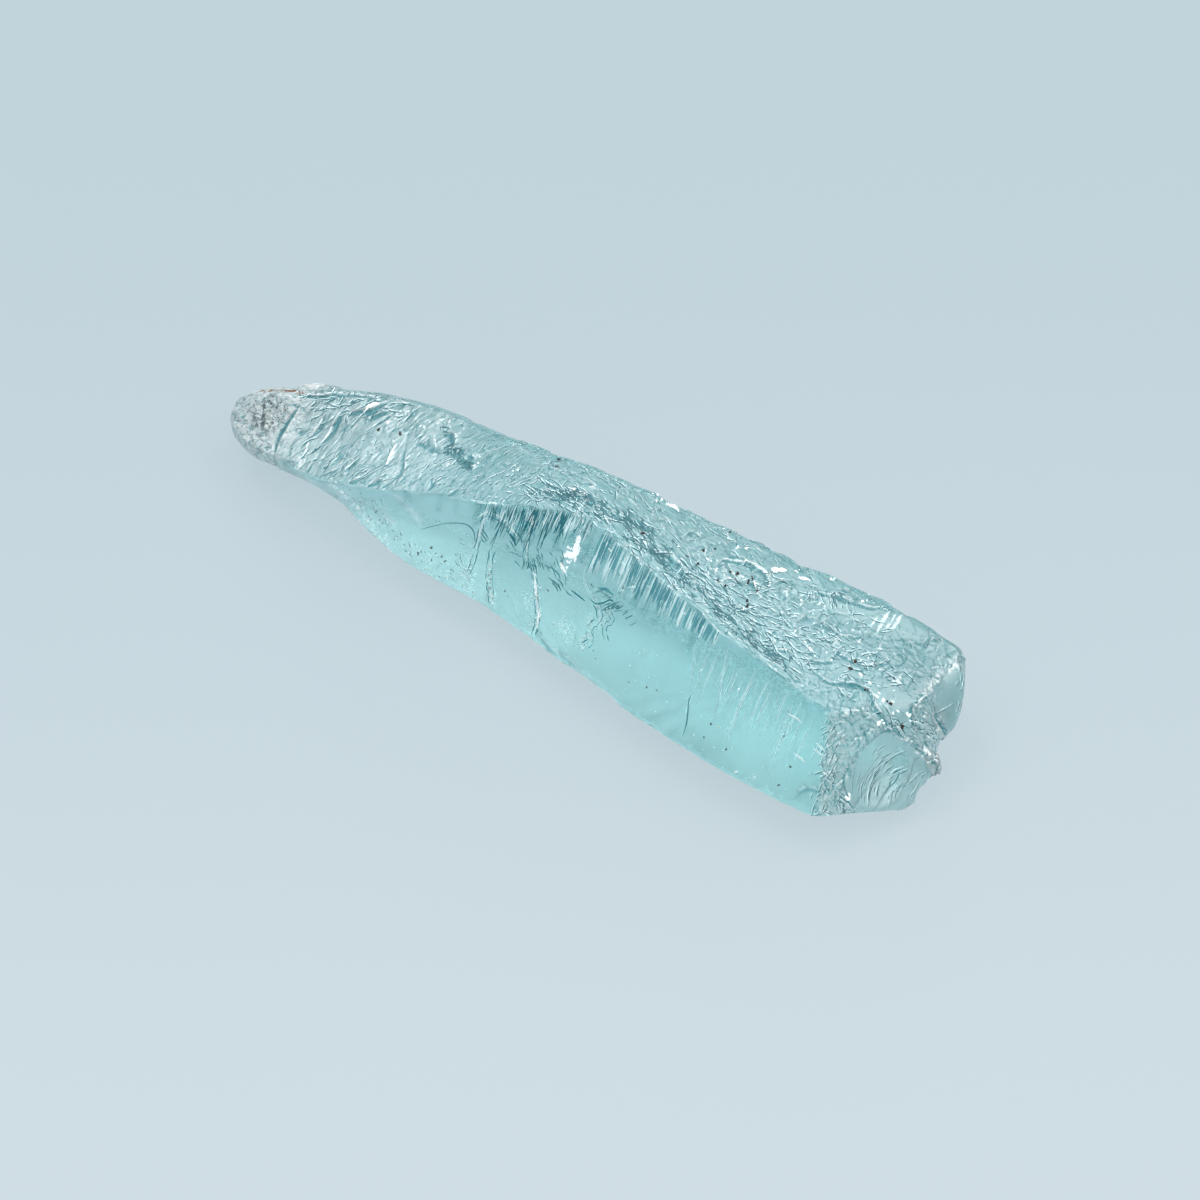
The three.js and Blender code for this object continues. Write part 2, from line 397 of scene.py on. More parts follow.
@dataclass(frozen=True)
class Grain:
    """Long hollows that lie one way on parts of the surface, each with a steep side.

    Sizes are in millimetres and the way is in degrees from +X towards +Y. The depth is how far the hollows
    are cut, and the trace is how much painted shade their steep sides and painted glint their lips get.
    """

    regions: tuple[str, ...]
    along: float
    length: float
    width: float
    steps: float
    seed: float
    depth: float
    trace: float
    bend: float = 0.0

    def slope(self, patterns: Patterns, place: Signal) -> Signal:
        """Returns where each place lies on its hollow's slope."""
        if self.bend:
            place = patterns.warp(place, self.length * 0.8, self.bend)
        turned = patterns.turned(place, self.along, self.length, self.width)
        return patterns.scallops(turned, self.steps, self.seed)

    def share(self, graph: Graph) -> Signal:
        """Returns how much each point belongs to the grain's regions."""
        return sum((graph.attribute(region) for region in self.regions[1:]), graph.attribute(self.regions[0]))

    @staticmethod
    def height(slope: Signal) -> Signal:
        """Returns a slope's height of -0.5 to 0.5."""
        return (slope * (1 / STEEP_FROM)).one("MINIMUM", (1.0 - slope) * (1 / (1 - STEEP_FROM))) - 0.5

    @staticmethod
    def steep(slope: Signal) -> Signal:
        """Returns 1 on a hollow's steep side and 0 elsewhere."""
        return slope.ramp(*STEEP_SIDE)

    @staticmethod
    def lip(slope: Signal) -> Signal:
        """Returns 1 on the lip above a hollow's steep side and 0 elsewhere."""
        return slope.ramp(*LIP_RISE) * slope.ramp(*LIP_FALL)


# Grains that are cut into the mesh. A row is the regions, the way, the length, the width, the steps, a seed,
# the depth, the trace and the bend.
CUT_GRAINS = (
    Grain(("gouge",), 78.0, 4.6, 1.5, 5.0, 3.1, 0.08, 0.5, 0.7),
    Grain(("ripple",), 70.0, 2.6, 0.9, 4.0, 11.3, 0.04, 0.2, 0.3),
    Grain(("crest",), -11.0, 3.4, 1.0, 6.0, 5.9, 0.11, 0.6, 0.4),
    Grain(("chip",), 10.0, 3.0, 1.7, 5.0, 9.1, 0.09, 0.5, 0.5),
    Grain(("bevel",), -14.0, 5.0, 1.4, 4.0, 6.2, 0.06, 0.4, 0.4),
    Grain(("end",), 0.0, 2.2, 1.0, 5.0, 2.7, 0.08, 0.6, 0.3),
    Grain(("tip",), 30.0, 1.3, 0.8, 4.0, 5.1, 0.04, 0.4, 0.3),
)

# Finer grains that only the shader's bumps and tints show, with painted shade on their steep sides and
# painted glints on their lips, in the same columns.
SHADED_GRAINS = (
    Grain(("gouge", "ripple"), 72.0, 2.0, 0.50, 3.5, 1.9, 0.030, 0.75),
    Grain(("crest", "bevel", "score"), -14.0, 2.2, 0.50, 3.5, 8.4, 0.050, 0.85),
    Grain(("chip", "end", "tip"), 15.0, 1.6, 0.80, 4.0, 4.2, 0.035, 0.5),
)


# ---- The relief ---------------------------------------------------------------------------------
# How far out the relief's middle level lies, which keeps its highest points inside the CAD node.
RELIEF_LEVEL = -0.1


class Relief:
    """The crystal's fine surface as a Geometry Nodes tree, in millimetres."""

    def __init__(self, material: bpy.types.Material) -> None:
        """Builds the tree, which also sets the material."""
        self.tree = bpy.data.node_groups.new("Relief", "GeometryNodeTree")
        self.tree.interface.new_socket("Geometry", in_out="INPUT", socket_type="NodeSocketGeometry")
        self.tree.interface.new_socket("Geometry", in_out="OUTPUT", socket_type="NodeSocketGeometry")
        self.graph = Graph(self.tree)
        self.patterns = Patterns(self.graph)
        self.inputs = self.tree.nodes.new("NodeGroupInput")
        self.outputs = self.tree.nodes.new("NodeGroupOutput")
        self.values: dict[str, float] = {}
        self.build(material)

    def size(self, name: str, value: float) -> Signal:
        """Adds a named input in millimetres and returns it."""
        item = self.tree.interface.new_socket(name, in_out="INPUT", socket_type="NodeSocketFloat")
        self.values[item.identifier] = value
        return Signal(self.graph, self.inputs.outputs[name])

    def build(self, material: bpy.types.Material) -> None:
        """Adds the whole relief and moves the points by it."""
        place = self.graph.node("GeometryNodeInputPosition")
        normal = self.graph.node("GeometryNodeInputNormal")
        patterns = self.patterns
        bent = patterns.warp(place, 3.0, 0.7)
        fine = patterns.warp(place, 1.2, 0.25)
        chips = patterns.facets(bent * 0.75, 1.7)
        small_chips = patterns.facets(fine * 1.7, 4.9)
        layers = [
            ("gouge", "Gouge Wave", 0.5, patterns.noise(place, 3.5)),
            ("gouge", "Gouge Chip", 0.08, chips),
            ("ripple", "Ripple Wave", 0.5, patterns.noise(place, 2.6)),
            ("crest", "Crest Wave", 0.6, patterns.noise(place, 2.2)),
            ("chip", "Chip Depth", 0.3, chips),
            ("chip", "Small Chip Depth", 0.1, small_chips),
            ("bevel", "Bevel Depth", 0.25, patterns.facets(bent * 0.42, 6.2)),
            ("end", "End Chip", 0.2, chips),
            ("end", "End Small Chip", 0.12, small_chips),
            ("tip", "Tip Lump", 0.4, patterns.noise(place, 1.8, 3.0)),
            ("tip", "Tip Pit", 0.05, small_chips),
            ("back", "Back Depth", 0.5, patterns.noise(place, 4.0)),
            ("back", "Back Chip", 0.12, patterns.facets(bent * 0.3, 3.3)),
            ("back", "Back Step", 0.16, patterns.bars(place, 1.3, 9.0)),
            ("front", "Front Wave", 0.06, patterns.noise(place, 6.0)),
            ("comb", "Comb Depth", 0.05, patterns.bars(place, 0.34, 2.0)),
            ("bars", "Bar Depth", 0.03, patterns.bars(place, 0.55, 5.0)),
        ]
        # The cut grains' steep sides get painted shade and their lips painted glints, both kept as the
        # points' paint.
        patch = patterns.noise(place, 2.4).ramp(-0.08, 0.14)
        steep = lip = self.graph.node("ShaderNodeValue")
        for index, grain in enumerate(CUT_GRAINS):
            slope = grain.slope(patterns, place)
            share = grain.share(self.graph) * grain.trace
            steep = steep + grain.steep(slope) * share * patch
            lip = lip + grain.lip(slope) * share * patterns.noise(place, 1.6).ramp(0.02, 0.16)
            layers.append((grain.regions[0], f"Grain {index}", grain.depth, grain.height(slope)))
        height = self.graph.node("ShaderNodeValue")
        height.socket.default_value = RELIEF_LEVEL
        for region, label, depth, pattern in layers:
            height = height + self.graph.attribute(region) * pattern * self.size(label, depth)
        moved = self.graph.node("ShaderNodeVectorMath", {"operation": "SCALE"}, {0: normal, "Scale": height})
        last = Signal(self.graph, self.inputs.outputs["Geometry"])
        for name, paint in (("dark", steep), ("pale", lip)):
            inputs = {"Geometry": last, "Name": name, "Value": paint}
            last = self.graph.node("GeometryNodeStoreNamedAttribute", {"domain": "POINT"}, inputs)
        last = self.graph.node("GeometryNodeSetPosition", inputs={"Geometry": last, "Offset": moved})
        last = self.graph.node("GeometryNodeRealizeInstances", inputs={0: last})
        last = self.graph.node("GeometryNodeSetMaterial", inputs={"Geometry": last, "Material": material})
        self.graph.feed(self.outputs.inputs["Geometry"], last)

    def apply(self, crystal: bpy.types.Object) -> None:
        """Runs the tree on an object and keeps the result as its mesh."""
        modifier = crystal.modifiers.new("Relief", "NODES")
        modifier.node_group = self.tree
        for identifier, value in self.values.items():
            modifier[identifier] = value
        bake_modifiers(crystal)


def bake_modifiers(thing: bpy.types.Object) -> None:
    """Replaces an object's mesh by what its modifiers make of it, and removes them."""
    bpy.context.view_layer.update()
    view = bpy.context.evaluated_depsgraph_get()
    result = bpy.data.meshes.new_from_object(thing.evaluated_get(view), depsgraph=view)
    old = thing.data
    thing.modifiers.clear()
    thing.data = result
    bpy.data.meshes.remove(old)


# ---- Single marks -------------------------------------------------------------------------------
# Marks are cut and raised by this share of their depths and lips.
CUT_SHARE = 0.6


class Face(Enum):
    """The faces that marks lie on, each by the two axes that its points are given in."""

    TOP = (0, 1)
    FRONT = (0, 2)
    END = (1, 2)


def smooth_path(points: Sequence[tuple[float, ...]], pieces: int = 6) -> np.ndarray:
    """Returns points along a smooth curve through the given ones."""
    given = np.array(points, dtype=float)
    if len(given) < 3:
        return given
    padded = np.vstack([2 * given[0] - given[1], given, 2 * given[-1] - given[-2]])
    step = np.linspace(0, 1, pieces, endpoint=False)[:, None]
    parts = []
    for before, start, stop, after in zip(padded, padded[1:], padded[2:], padded[3:]):
        ease = (stop - before) / 2, (after - start) / 2
        parts.append(
            start + ease[0] * step
            + (3 * (stop - start) - 2 * ease[0] - ease[1]) * step**2
            + (2 * (start - stop) + ease[0] + ease[1]) * step**3
        )
    return np.vstack(parts + [given[-1:]])


@dataclass(frozen=True)
class Patch:
    """A calm facet of the broken faces, by its outline on one face in millimetres."""

    outline: Sequence[tuple[float, float]]
    face: Face = Face.TOP
    calm: float = 0.9

    def share(self, surface: Surface) -> np.ndarray:
        """Returns how much each point belongs to the facet, which fades in from its outline."""
        flat = surface.points[:, self.face.value]
        corners = np.array(self.outline, dtype=float)
        low, high = corners.min(axis=0), corners.max(axis=0)
        chosen = np.flatnonzero(np.all((flat > low) & (flat < high), axis=1))
        share = np.zeros(len(flat))
        near = np.full(len(chosen), 1e9)
        inside = np.zeros(len(chosen), dtype=bool)
        for start, stop in zip(corners, np.roll(corners, -1, axis=0)):
            offset, span = flat[chosen] - start, stop - start
            along = np.clip(offset @ span / (span @ span), 0, 1)
            near = np.minimum(near, np.linalg.norm(offset - along[:, None] * span, axis=1))
            crosses = (start[1] > flat[chosen, 1]) != (stop[1] > flat[chosen, 1])
            inside ^= crosses & (offset[:, 0] < span[0] * offset[:, 1] / (span[1] or 1e-9))
        share[chosen] = np.where(inside, smooth_step(near, 0.0, 0.3), 0.0) * self.calm
        return share


def alike(kind: type, rows: Sequence[tuple[Any, ...]], **shared: Any) -> list[Any]:
    """Returns one of a kind, such as a mark, for each row of its own values."""
    return [kind(*row, **shared) for row in rows]


PATCHES = (
    # The scar, the hollow and the upper facet of the end.
    Patch(((-5.6, 4.7), (-4.3, 5.3), (-3.2, 6.1), (-2.2, 6.7), (-1.3, 7), (-0.7, 6), (-0.2, 4.4),
           (-0.4, 2.6), (-1.6, 1.2), (-3.6, 0.8), (-5.4, 1.4), (-6, 3)), Face.END),
    Patch(((2.5, 2.4), (2.4, 5.1), (2.7, 7), (3.2, 8), (4.8, 8.1), (5.7, 8), (6.4, 6.5), (6.2, 4), (4.4, 2)),
           Face.END),
    Patch(((-0.4, 9.6), (-1.1, 9), (-1.2, 8.3), (-0.9, 7.2), (-0.5, 6), (0.1, 6.7), (1, 8), (2, 8.6),
           (1.2, 9.6)), Face.END, 0.75),
    # Facets of the top.
    Patch(((17.8, 4.4), (19.6, 5), (21.8, 5.5), (22.4, 4.6), (21.2, 3.6), (19, 3.6)), calm=0.8),
    Patch(((20.6, 5.8), (22.4, 6.4), (24.6, 7.2), (27, 7.2), (26.4, 5.6), (24.6, 4.2), (22.6, 4.2)),
           calm=0.6),
    Patch(((13.2, 4.6), (15, 4.2), (17, 4.4), (17.6, 5.6), (15.4, 6)), calm=0.6),
    Patch(((24.6, 0.4), (26.6, 0.8), (28, 0.2), (27.4, -0.8), (25.6, -0.2)), calm=0.7),
)


@dataclass(frozen=True)
class Mark:
    """A crease, a step or a stain along a path on one face, in millimetres.

    A positive depth is cut in. The lip is a ridge raised along the left side of the path. Its dark paint is
    painted shade in the crease, and its pale paint a painted glint on the lip, or on the mark itself where it
    has no lip.
    """

    path: Sequence[tuple[float, float]]
    width: float
    depth: float = 0.0
    lip: float = 0.0
    dark: float = 0.0
    pale: float = 0.0
    stain: float = 0.0
    grit: float = 0.0
    face: Face = Face.TOP

    def cut(self, surface: Surface, paints: Shares, shares: np.ndarray) -> None:
        """Cuts the mark in the surface and adds its paint.

        Args:
            surface: The surface, whose points are moved.
            paints: The paint at each point by its name, which is added to.
            shares: How much each point belongs to the mark's face.
        """
        path = smooth_path(self.path)
        flat = surface.points[:, self.face.value]
        reach = self.width * 3
        near = (flat > path.min(axis=0) - reach) & (flat < path.max(axis=0) + reach)
        chosen = np.flatnonzero(np.all(near, axis=1) & (shares > 0.05))
        if not len(chosen):
            return
        start, span = (path[:-1], np.diff(path, axis=0)) if len(path) > 1 else (path, np.full((1, 2), 1e-6))
        offset = flat[chosen][:, None, :] - start[None]
        share = np.clip((offset * span).sum(axis=2) / np.maximum((span**2).sum(axis=1), 1e-12), 0, 1)
        gap = offset - share[..., None] * span
        distance = np.linalg.norm(gap, axis=2)
        nearest = distance.argmin(axis=1)
        rows = np.arange(len(chosen))
        away, way = gap[rows, nearest], span[nearest]
        side = np.sign(way[:, 0] * away[:, 1] - way[:, 1] * away[:, 0])
        travelled = (nearest + share[rows, nearest]) / len(start)
        taper = np.sin(np.pi * np.clip(travelled, 0.04, 0.96)) ** 0.6 if len(path) > 1 else 1.0
        across = distance[rows, nearest] / (self.width * np.maximum(taper, 0.25))
        body = np.exp(-(across**2)) * taper * shares[chosen]
        crest = np.exp(-((across * side - 1.3) ** 2) * 3) * taper * shares[chosen]
        move = (crest * self.lip - body * self.depth) * CUT_SHARE
        surface.points[chosen] += surface.normals[chosen] * move[:, None]
        for name, amount, where in (
            ("dark", self.dark, body), ("pale", self.pale, crest if self.lip else body),
            ("stain", self.stain, body), ("grit", self.grit, body),
        ):
            paints[name][chosen] += amount * where


# A row is a path, a width, a depth, a lip, and how dark (painted shade), pale (painted glint), stained and
# gritty the mark is.
MARKS = (
    # Creases of the gouged part.
    *alike(Mark, (
        (((-22, 1.9), (-21.3, 2.3), (-20.3, 2.6), (-19.8, 3.4), (-19.5, 3.9)), 0.26, 0.35, 0.12, 1, 0.6),
        (((-20.5, 1.9), (-19.9, 2.2), (-19.5, 2.6), (-18.9, 3.2)), 0.2, 0.28, 0.1, 0.9, 0.6),
        (((-18.9, 3.6), (-18.5, 4.1), (-18, 4.3)), 0.18, 0.25, 0.08, 0.8, 0.4),
        (((-26.9, 1.7), (-24.8, 2.2), (-23.7, 3.1), (-21.5, 3.8), (-19.7, 4.3)), 0.22, 0.3, 0.15, 0.8, 0.5),
        (((-24.5, 1.9), (-24.1, 2.3), (-23.7, 2.9)), 0.2, 0.25, 0.1, 0.8, 0.5),
        (((-22.8, -1), (-22.4, 0.1), (-22.5, 1.3), (-22.5, 2.4)), 0.22, 0.28, 0.1, 0.7, 0.4),
        (((-23.8, -0.6), (-23.5, 0.4), (-23.7, 1.4)), 0.18, 0.2, 0.1, 0.6, 0.5),
        (((-20.9, 2.5), (-20.6, 3), (-20.3, 3.5)), 0.3, -0.12, 0, 0, 1),
        (((-16.4, -0.9), (-16.6, 0), (-16.7, 0.6)), 0.2, -0.05, 0, 0, 0.8),
        (((-15.9, 1), (-15.5, -0.1), (-14.9, -1.3), (-15.1, -2.5), (-15.8, -3.5)), 0.16, 0.22, 0.1, 0.8, 0.6),
        (((-18.5, -3.4), (-17.9, -3.1), (-17.5, -2.5)), 0.16, 0.25, 0.1, 0.9, 0.5),
        (((-20.8, -2.3), (-20.5, -1.6), (-20.2, -1.2)), 0.16, 0.25, 0.1, 0.9, 0.5),
        (((-21.2, -3.2), (-20.5, -2.9), (-20, -2.3)), 0.16, 0.25, 0.1, 0.8, 0.5),
        (((-16.8, -3.5), (-16.2, -2.8), (-15.8, -2.4)), 0.16, 0.25, 0.1, 0.8, 0.5),
        (((-19.4, -2.6), (-19, -1.9), (-18.8, -1.1)), 0.16, 0.22, 0.1, 0.7, 0.5),
        # Dark crumples past them.
        (((-15.2, 1.2), (-14.2, 1.4), (-13.1, 1.1)), 0.3, 0.2, 0, 0.5, 0),
        (((-13.7, 3.1), (-13, 2.7), (-12.4, 2.1)), 0.28, 0.25, 0.1, 0.8, 0.5),
        (((-12.6, 1.9), (-11.7, 1.5), (-11.5, 2.2)), 0.34, 0.3, 0.1, 1, 0.5),
        (((-11.4, 1.4), (-10.7, 1.1), (-10, 1)), 0.34, 0.3, 0.1, 1, 0.5),
        (((-10.9, 1.9), (-10.3, 1.5)), 0.22, 0.25, 0.1, 0.8, 0.5),
        (((-11.8, -2.1), (-11.9, -1.6), (-11.8, -1.1)), 0.14, 0.2, 0.1, 0.7, 0.4),
        (((-10.1, -2.1), (-9.9, -1.6), (-9.7, -1.1)), 0.14, 0.2, 0.1, 0.6, 0.4),
        # The ridge's dark hollows and the oval dent.
        (((1.6, 1.8), (2.8, 2.2), (4, 2.4), (5.6, 2.4)), 0.45, 0.25, 0, 0.9, 0),
        (((-4, 1.2), (-2.6, 1.3), (-1.2, 1.9), (0.6, 1.9)), 0.4, 0.25, 0.12, 0.8, 0.4),
        (((-2.6, 2.5), (-1.6, 2.4), (-0.9, 2.4), (0.4, 2.2)), 0.14, -0.12, 0, 0, 0.9),
        (((10.9, 2), (10.9, 3.1), (12.1, 3.7), (13.6, 3.9), (14.5, 3.3), (14.2, 2.3), (13.1, 1.5)),
          0.2, 0.22, 0.12, 0.5, 0.9),
        (((6, 0.6), (8, 0.6), (10, 0)), 0.45, 0.22, 0.1, 0.7, 0.3),
        # The neck and the stained, gritty tip.
        (((-25.9, 1.1), (-26.2, -0.6), (-26.2, -1.7), (-25.8, -2.8)), 0.25, 0.3, 0.15, 0.6, 0.5),
        (((-30.2, 1.6), (-28.3, 2.3), (-26.2, 2.2)), 0.35, 0, 0, 0, 0, 0.8),
        (((-29.6, -0.6), (-28.2, -0.3), (-26.9, 0.2)), 1.5, 0.1, 0, 0, 0, 0, 1),
        (((-27.8, 3.2), (-26.6, 3.8), (-25.2, 3.9), (-23.8, 3.8)), 0.8, -0.5, 0, 0, 0.7),
    )),
    # The low chip and its arc on the front face, and the edge that the front shares with the end.
    *alike(Mark, (
        (((23.8, 3.6), (24.3, 4.4), (25, 4.7), (25.9, 4.5), (26.4, 4.2)), 0.16, 0.2, 0.1, 0.8, 0.5),
        (((23.9, 9.9), (25, 7.9), (25.5, 6.1), (25.9, 4.6), (26.5, 3.3)), 0.2, 0.15, 0.1, 0.5, 0.6),
        (((2.4, 3.4), (4, 3.2), (6.3, 2.5)), 0.16, 0.2, 0.1, 0.6, 0.5),
        (((-14.9, 8.4), (-12.7, 7.3), (-11.5, 6.3)), 0.1, -0.06, 0, 0, 0.7),
        (((-15.3, 6.2), (-14.3, 5.7), (-13.5, 4.8)), 0.1, -0.06, 0, 0, 0.6),
        (((0, 3.5), (1.3, 3.2), (2.8, 3.1)), 0.1, 0.15, 0.08, 0.7, 0.5),
    ), face=Face.FRONT),
    # Folds and outlines of the chips above the end.
    *alike(Mark, (
        (((17.7, 4.5), (18.7, 4.8), (19.6, 5.1), (20.5, 5.2), (22, 5.7), (22.9, 6.8)),
          0.2, 0.25, 0.12, 0.8, 0.5),
        (((20.2, -1.5), (21.5, -1.6), (22.8, -1.7), (24.1, -0.9), (25.4, -0.4), (26.1, -0.9), (27, -1.2),
          (28, -0.9), (29.1, -0.6)), 0.16, 0.25, 0.12, 0.8, 0.5),
        (((24.5, 1.1), (25, 2), (25.5, 2.6)), 0.14, 0.2, 0.1, 0.7, 0.5),
        (((21.4, 0.7), (22.7, 0.8), (23.6, 0.7)), 0.14, 0.2, 0.1, 0.7, 0.5),
        (((20.4, -1.1), (21.3, -0.7), (22.4, 0.2)), 0.14, 0.2, 0.1, 0.7, 0.5),
        (((17.8, -1.8), (18.8, -1.3), (19.7, -1.1)), 0.14, 0.2, 0.1, 0.7, 0.5),
    )),
    *alike(Mark, (
        (((-0.4, 9.4), (-0.9, 9.1), (-1.2, 8.3), (-0.9, 7.2), (-0.6, 6)), 0.14, 0.2, 0.12, 0.7, 0.6),
        (((2.3, 8.3), (1, 8), (0.1, 6.7)), 0.14, 0.2, 0.12, 0.6, 0.6),
        (((2.3, 2.4), (2.2, 5.1), (2.6, 7)), 0.2, 0.2, 0.16, 0.5, 0.7),
        (((-0.5, 4.8), (0.1, 3.6), (-0.4, 2.5)), 0.9, -1.05, 0, 0.1),
        (((6.4, 8.2), (5.2, 6.6), (3.8, 4.9), (2.8, 3.6)), 1.1, -0.8),
        (((-3.4, 1), (-2.2, 0.9), (-1, 1.3)), 0.6, -0.6),
        # The scar on the end.
        (((-6, 3), (-5.4, 4.9), (-3.4, 6.1), (-1.8, 6.8), (-1.1, 7), (-0.7, 6.2)), 0.14, 0.3, 0.2, 0.9, 0.8),
        (((-0.6, 5.6), (-0.2, 4.4), (-0.4, 2.6), (-1.6, 1.2)), 0.16, 0.2, 0.12, 0.5, 0.6),
    ), face=Face.END),
)


# ---- Finishes -----------------------------------------------------------------------------------
@dataclass(frozen=True)
class BerylFinish:
    """Clear pale blue beryl, clean on its growth faces and bruised where it is broken, with painted shade in
    its creases and painted glints on their lips.
    """

    ior: float = 1.577
    absorbed: tuple[float, float, float] = (0.04, 0.81, 0.83)
    density: float = 48.0
    shadow: tuple[float, float, float] = (0.10, 0.33, 0.37)
    rust: tuple[float, float, float] = (0.50, 0.24, 0.07)
    soot: tuple[float, float, float] = (0.13, 0.15, 0.16)
    speckle_size: float = 0.22
    speckle_depth: float = 0.012
    grit_length: float = 0.45
    grit_width: float = 0.16
    grit_depth: float = 0.07
    grit_dark: float = 0.45
    grit_pale: float = 0.35
    lip_glint: float = 0.3
    shard_depth: float = 0.05
    bar_dark: float = 0.5
    comb_dark: float = 0.8
    tip_size: float = 0.42
    tip_depth: float = 0.09
    glint: float = 0.65
    polish: float = 0.015
    dullness: tuple[tuple[str, float], ...] = (
        ("tip", 0.7), ("gouge", 0.38), ("ripple", 0.38), ("bevel", 0.36), ("crest", 0.34), ("chip", 0.34),
        ("end", 0.34), ("calm", 0.48), ("haze", 0.16), ("back", 0.55), ("base", 0.6),
    )

    def material(self) -> bpy.types.Material:
        """Makes the material."""
        material = bpy.data.materials.new("beryl")
        material.use_nodes = True
        tree = material.node_tree
        tree.nodes.clear()
        graph = Graph(tree)
        patterns = Patterns(graph)
        place = graph.attribute("place", vector=True)
        speckle = patterns.noise(place, self.speckle_size, 1.0)
        # The dark paint is mostly painted shade in creases, hollows and steep sides, with darker grain,
        # growth bars and tone; the pale paint is mostly painted glints on lips and humps, with paler grain
        # and tone.
        relief, dark, pale = speckle * self.speckle_depth, graph.attribute("dark"), graph.attribute("pale")
        for grain in SHADED_GRAINS:
            slope = grain.slope(patterns, place)
            share = grain.share(graph) * grain.trace
            drawn_out = patterns.turned(place, grain.along, self.grit_length, self.grit_width)
            grit = patterns.noise(drawn_out, 1.0, 3.0)
            relief = relief + (grain.height(slope) * grain.depth + grit * self.grit_depth) * share
            dark = dark + grit.ramp(0.02, 0.2) * share * self.grit_dark
            pale = pale + grit.ramp(-0.02, -0.2) * share * self.grit_pale
            dark = dark + grain.steep(slope) * share
            pale = pale + grain.lip(slope) * share * self.lip_glint
        shards = graph.attribute("chip") + graph.attribute("crest") * 0.6 + graph.attribute("end")
        shards = shards + graph.attribute("gouge") * 0.4
        splinters = patterns.facets(patterns.warp(place, 0.8, 0.25) * 1.5, 8.8)
        relief = relief + splinters * shards * self.shard_depth
        bar = patterns.bars(place, 0.55, 5.0) + patterns.bars(place, 0.16, 3.0) * 0.6
        comb = patterns.bars(place, 0.16, 7.0) + patterns.bars(place, 0.5, 1.0)
        banded = graph.attribute("bars").ramp(0.45, 0.55)
        dark = dark + banded * bar.ramp(0.0, 0.3) * self.bar_dark
        dark = dark + graph.attribute("comb") * comb.ramp(0.1, 0.5) * self.comb_dark
        # Painted shade: the dark paint tints the beryl towards the shadow colour, and the comb's dark lines
        # under the ridge are partly painted shade.
        tint = dark.tint((1.0, 1.0, 1.0), self.shadow)
        grains = patterns.noise(place, self.tip_size, 3.0)
        relief = relief + grains * graph.attribute("tip") * self.tip_depth
        tint = (graph.attribute("grit") * grains.ramp(-0.04, 0.12)).tint(tint, self.soot)
        tint = (graph.attribute("stain") * speckle.ramp(-0.08, 0.06)).tint(tint, self.rust)
        roughness = graph.node("ShaderNodeValue") + self.polish
        for region, amount in self.dullness:
            roughness = roughness + graph.attribute(region) * amount
        bump = graph.node("ShaderNodeBump", inputs={"Height": relief, "Distance": 0.001, "Strength": 1.0})
        # The pale paint makes the surface metallic so that it reflects the sky as white: painted glints and
        # sheen.
        shader = graph.node(
            "ShaderNodeBsdfPrincipled",
            inputs={
                "Base Color": tint, "Roughness": roughness, "Metallic": pale.one("MINIMUM", 1.0) * self.glint,
                "IOR": self.ior, "Transmission Weight": 1.0, "Normal": bump,
            },
        )
        inputs = {"Color": self.absorbed, "Density": self.density}
        volume = graph.node("ShaderNodeVolumeAbsorption", inputs=inputs)
        out = tree.nodes.new("ShaderNodeOutputMaterial")
        graph.feed(out.inputs["Surface"], shader)
        graph.feed(out.inputs["Volume"], volume)
        return material


